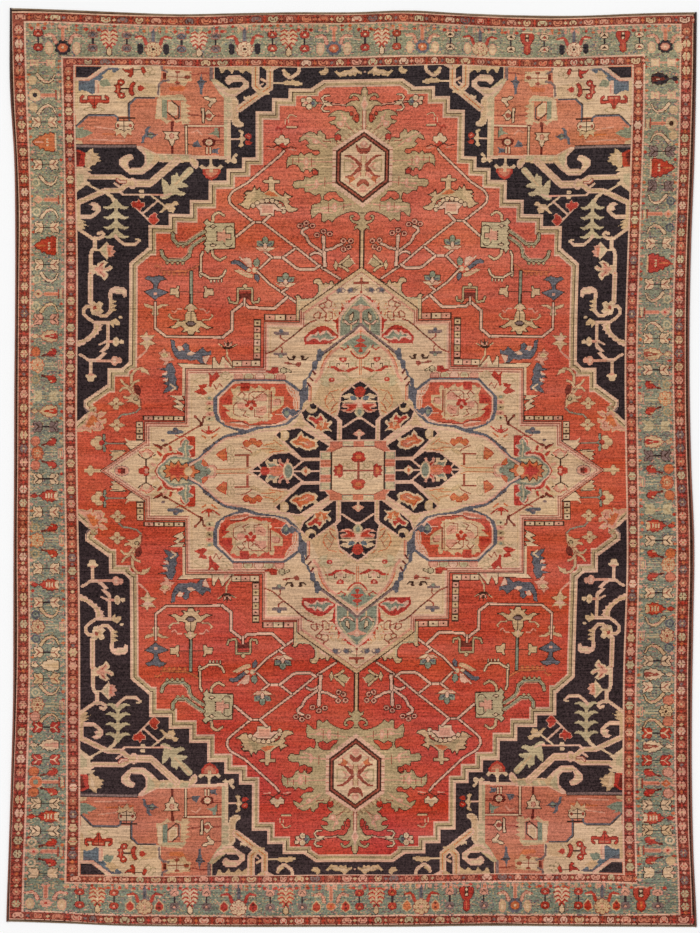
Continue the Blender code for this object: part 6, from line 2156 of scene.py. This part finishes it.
def web_cotton(colour):
    """Undyed cotton warps and wefts, greyed by dust: a matt plain weave."""
    material, tree, shader = new_material("cotton_undyed_web", 0.92, 0.15, 0.05)
    place = add(tree, "ShaderNodeTexCoord").outputs["Object"]
    # soiled stretches about 100 mm long, and threads 1.2 mm thick
    soil = add(tree, "ShaderNodeTexNoise", {"Scale": 10.0, "Detail": 4.0, "Roughness": 0.7}, {"Vector": place})
    thread = add(tree, "ShaderNodeTexNoise", {"Scale": 1 / 0.0012, "Detail": 2.0}, {"Vector": place})
    shades = add(tree, "ShaderNodeValToRGB", links={"Fac": soil.outputs[0]})
    shades.color_ramp.elements[0].position = 0.3
    shades.color_ramp.elements[1].position = 0.7
    shades.color_ramp.elements[0].color = (*hex_rgb("6d5238"), 1.0)
    shades.color_ramp.elements[1].color = (*colour, 1.0)
    value = shaded(tree, ((thread.outputs[0], 0.5),))
    tinted = add(tree, "ShaderNodeHueSaturation", links={"Value": value, "Color": shades.outputs["Color"]})
    tree.links.new(tinted.outputs["Color"], shader.inputs["Base Color"])
    bump = add(tree, "ShaderNodeBump", {"Strength": 0.4, "Distance": 0.0004}, {"Height": thread.outputs[0]})
    tree.links.new(bump.outputs["Normal"], shader.inputs["Normal"])
    return material


def back_weave(colour):
    """The rug's back: wool knots in rows between cotton wefts, with ridges along the rows, and painted shade
    that darkens the grooves between the ridges.
    """
    material, tree, shader = new_material("wool_knots_and_cotton_wefts", 0.95, 0.1, 0.05)
    place = add(tree, "ShaderNodeTexCoord").outputs["Object"]
    # a row of knots and its wefts every 3.4 mm, a knot's two loops every 1.7 mm; the node draws 3.18 waves a
    # unit
    rows = add(tree, "ShaderNodeTexWave", {"Scale": 1 / 0.0034 / 3.18, "Distortion": 1.2, "Detail": 2.0},
               {"Vector": place}, bands_direction="Y")
    loops = add(tree, "ShaderNodeTexWave", {"Scale": 1 / 0.0017 / 3.18, "Distortion": 1.2, "Detail": 2.0},
                {"Vector": place}, bands_direction="X")
    ridges_and_painted_shade = add(tree, "ShaderNodeMath", links={0: rows.outputs["Fac"], 1: loops.outputs["Fac"]},
                 operation="MULTIPLY")
    # the yarns of the pattern run together into blotches about 170 mm wide
    blotches = add(tree, "ShaderNodeTexNoise", {"Scale": 6.0, "Detail": 6.0, "Roughness": 0.7},
                   {"Vector": place})
    shades = add(tree, "ShaderNodeValToRGB", links={"Fac": blotches.outputs[0]})
    stops = shades.color_ramp.elements
    stops.new(0.5)
    for stop, position, code in zip(stops, (0.36, 0.5, 0.64), ("4b3430", None, "a98c6c")):
        stop.position = position
        stop.color = (*(hex_rgb(code) if code else colour), 1.0)
    # painted shade and light: the colour is lighter on the tops of the ridges and darker in the grooves between
    # them, following the same relief as the bump
    value = shaded(tree, ((ridges_and_painted_shade.outputs[0], 0.5),))
    tinted = add(tree, "ShaderNodeHueSaturation", links={"Value": value, "Color": shades.outputs["Color"]})
    tree.links.new(tinted.outputs["Color"], shader.inputs["Base Color"])
    bump = add(tree, "ShaderNodeBump", {"Strength": 0.7, "Distance": 0.0012}, {"Height": ridges_and_painted_shade.outputs[0]})
    tree.links.new(bump.outputs["Normal"], shader.inputs["Normal"])
    return material


def painted_floor(colour):
    """A matt painted studio floor, very slightly mottled by the roller."""
    material, tree, shader = new_material("matt_paint_floor", 0.85, 0.2, 0.0)
    place = add(tree, "ShaderNodeTexCoord").outputs["Object"]
    mottle = add(tree, "ShaderNodeTexNoise", {"Scale": 4.0, "Detail": 3.0}, {"Vector": place})
    value = shaded(tree, ((mottle.outputs[0], 0.02),))
    tinted = add(tree, "ShaderNodeHueSaturation", {"Color": (*colour, 1.0)}, {"Value": value})
    tree.links.new(tinted.outputs["Color"], shader.inputs["Base Color"])
    return material


# ---- What a user can change

class RugYarns(bpy.types.PropertyGroup):
    """Colour of every dyed yarn in the middle of the rug"""
    __annotations__ = {
        name: bpy.props.FloatVectorProperty(
            name=what.capitalize(), description="Colour of the " + what + " wool", subtype="COLOR", size=3,
            min=0.0, max=1.0, default=hex_rgb(codes[1]))
        for name, (what, *codes) in YARNS.items()
    }


class RugSizes(bpy.types.PropertyGroup):
    """Sizes of the rug's pile and edges, and colours of its edges and back"""
    pile_thickness: bpy.props.FloatProperty(
        name="Thickness", description="From the floor to the top of the pile", default=0.008, min=0.004,
        max=0.016, unit="LENGTH")
    unevenness: bpy.props.FloatProperty(
        name="Unevenness", description="How far the pile's top rises and falls", default=0.0003, min=0.0,
        max=0.002, unit="LENGTH")
    wrap_pitch: bpy.props.FloatProperty(
        name="Wrap Spacing", description="Between two turns of the selvedge's overcasting", default=0.0024,
        min=0.0015, max=0.006, unit="LENGTH")
    warp_pitch: bpy.props.FloatProperty(
        name="Warp Spacing", description="Between two warps of the end webs", default=0.0017, min=0.001,
        max=0.004, unit="LENGTH")
    selvedge_colour: bpy.props.FloatVectorProperty(
        name="Selvedge", description="Overcast wool along most of the two sides", subtype="COLOR", size=3,
        min=0.0, max=1.0, default=hex_rgb("8a5646"))
    web_colour: bpy.props.FloatVectorProperty(
        name="End Webs", description="Undyed cotton of the two ends", subtype="COLOR", size=3, min=0.0,
        max=1.0, default=hex_rgb("a08a70"))
    back_colour: bpy.props.FloatVectorProperty(
        name="Back", description="Wool and cotton of the rug's back, taken together", subtype="COLOR", size=3,
        min=0.0, max=1.0, default=hex_rgb("86503f"))


class RugStage(bpy.types.PropertyGroup):
    """Floor, light and camera of the studio"""
    floor_colour: bpy.props.FloatVectorProperty(
        name="Floor", description="Colour of the painted floor", subtype="COLOR", size=3, min=0.0, max=1.0,
        default=hex_rgb("fcfcfc"))
    soft_light: bpy.props.FloatProperty(
        name="Soft Light", description="Strength of the even light from all round", default=0.62, min=0.0,
        max=4.0)
    key_light: bpy.props.FloatProperty(
        name="Key Light", description="Strength of the softbox above one corner", default=1.5, min=0.0,
        max=20.0)
    focal_length: bpy.props.FloatProperty(
        name="Focal Length", description="Of the camera, in millimetres", default=85.0, min=20.0, max=300.0)
    view_height: bpy.props.FloatProperty(
        name="View Height", description="Length of floor that fills the picture from top to bottom",
        default=3.825, min=0.5, max=10.0, unit="LENGTH")


# ---- Operators

class RUG_OT_pile(bpy.types.Operator):
    """Draw the cartoon and knot it as five woven sections of dyed wool"""
    bl_idname = "rug.pile"
    bl_label = "Knot Pile"

    def execute(self, context):
        sizes, yarns = context.scene.rug_sizes, context.scene.rug_yarns
        wools = {}
        for name, (what, first, _, last) in YARNS.items():
            wools[name] = pile_wool(what, (hex_rgb(first), tuple(getattr(yarns, name)), hex_rgb(last)))
        chart = whole()
        # where each row's yarn changes, or a run is split
        change = np.zeros((chart.rows, chart.columns + 1), dtype=bool)
        change[:, 1:-1] = chart.knots[:, 1:] != chart.knots[:, :-1]
        change[:, ::LONGEST_RUN] = True
        change[:, [chart.columns // 2, chart.columns]] = True
        for k in range(SECTIONS):
            first, last = chart.rows * k // SECTIONS, chart.rows * (k + 1) // SECTIONS
            pile_section(f"knotted_section_{k + 1}", chart, change, first, last, sizes, wools)
        return {"FINISHED"}


class RUG_OT_foundation(bpy.types.Operator):
    """Weave the foundation under the pile, with the pile's own edge"""
    bl_idname = "rug.foundation"
    bl_label = "Weave Foundation"

    def execute(self, context):
        sizes = context.scene.rug_sizes
        rim = bpy.data.materials["wool_walnut_brown"]
        back = foundation(sizes, back_weave(tuple(sizes.back_colour)), rim)
        return {"FINISHED"}


class RUG_OT_selvedges(bpy.types.Operator):
    """Overcast the two long sides"""
    bl_idname = "rug.selvedges"
    bl_label = "Overcast Selvedges"

    def execute(self, context):
        sizes = context.scene.rug_sizes
        # from the -Y corner to the +Y one
        worn = tuple(sizes.selvedge_colour)
        wool = overcast_wool((hex_rgb("6a4234"), worn, worn, hex_rgb("4a342c"), hex_rgb("3a2a28")))
        for side in ("left", "right"):
            selvedge(side, sizes, wool)
        return {"FINISHED"}


class RUG_OT_webs(bpy.types.Operator):
    """Weave the short cotton webs at the two ends"""
    bl_idname = "rug.webs"
    bl_label = "Weave End Webs"

    def execute(self, context):
        sizes = context.scene.rug_sizes
        cotton = web_cotton(tuple(sizes.web_colour))
        for end in ("bottom", "top"):
            end_web(end, sizes, cotton)
        return {"FINISHED"}


class RUG_OT_stage(bpy.types.Operator):
    """Lay the floor, light it softly and hang the camera over the rug"""
    bl_idname = "rug.stage"
    bl_label = "Set Stage"

    def execute(self, context):
        scene, stage = context.scene, context.scene.rug_stage
        # wide enough that its end is out of sight, except from very low down
        bpy.ops.mesh.primitive_plane_add(size=120.0)
        floor = context.object
        floor.name = "studio_floor"
        floor.data.materials.append(painted_floor(tuple(stage.floor_colour)))
        world = bpy.data.worlds.new("studio")
        world.use_nodes = True
        world.node_tree.nodes["Background"].inputs["Color"].default_value = (1.0, 1.0, 1.0, 1.0)
        world.node_tree.nodes["Background"].inputs["Strength"].default_value = stage.soft_light
        scene.world = world
        key = bpy.data.lights.new("softbox", "SUN")
        key.energy = stage.key_light
        key.angle = math.radians(35)
        lamp = bpy.data.objects.new("softbox", key)
        lamp.rotation_euler = (math.radians(-32), math.radians(-28), 0.0)
        scene.collection.objects.link(lamp)
        lens = bpy.data.cameras.new("overhead_camera")
        lens.lens = stage.focal_length
        lens.clip_end = 300.0
        camera = bpy.data.objects.new("overhead_camera", lens)
        # the photo's middle lies a few millimetres from the rug's, and the picture's height is its longer side
        distance = stage.view_height / 2 / (lens.sensor_width / 2 / lens.lens)
        camera.location = (-0.0059, 0.0041, 0.008 + distance)
        scene.collection.objects.link(camera)
        scene.camera = camera
        scene.view_settings.view_transform = "Standard"
        return {"FINISHED"}


class RUG_PT_panel(bpy.types.Panel):
    """The rug's steps and what can be changed in them"""
    bl_idname = "RUG_PT_panel"
    bl_label = "Hand-knotted Rug"
    bl_space_type = "VIEW_3D"
    bl_region_type = "UI"
    bl_category = "Rug"

    def draw(self, context):
        for operator, group in ((RUG_OT_pile, "rug_yarns"), (RUG_OT_foundation, "rug_sizes"),
                                (RUG_OT_selvedges, None), (RUG_OT_webs, None), (RUG_OT_stage, "rug_stage")):
            self.layout.operator(operator.bl_idname)
            if group:
                settings = getattr(context.scene, group)
                column = self.layout.column(align=True)
                for name in type(settings).__annotations__:
                    column.prop(settings, name)


CLASSES = (RugYarns, RugSizes, RugStage, RUG_OT_pile, RUG_OT_foundation, RUG_OT_selvedges, RUG_OT_webs,
           RUG_OT_stage, RUG_PT_panel)


def register():
    for made in CLASSES:
        bpy.utils.register_class(made)
    bpy.types.Scene.rug_yarns = bpy.props.PointerProperty(type=RugYarns)
    bpy.types.Scene.rug_sizes = bpy.props.PointerProperty(type=RugSizes)
    bpy.types.Scene.rug_stage = bpy.props.PointerProperty(type=RugStage)


def unregister():
    for name in ("rug_yarns", "rug_sizes", "rug_stage"):
        delattr(bpy.types.Scene, name)
    for made in reversed(CLASSES):
        bpy.utils.unregister_class(made)


def main():
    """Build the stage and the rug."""
    register()
    bpy.ops.rug.stage()
    bpy.ops.rug.pile()
    bpy.ops.rug.foundation()
    bpy.ops.rug.selvedges()
    bpy.ops.rug.webs()


if __name__ == "__main__":
    main()
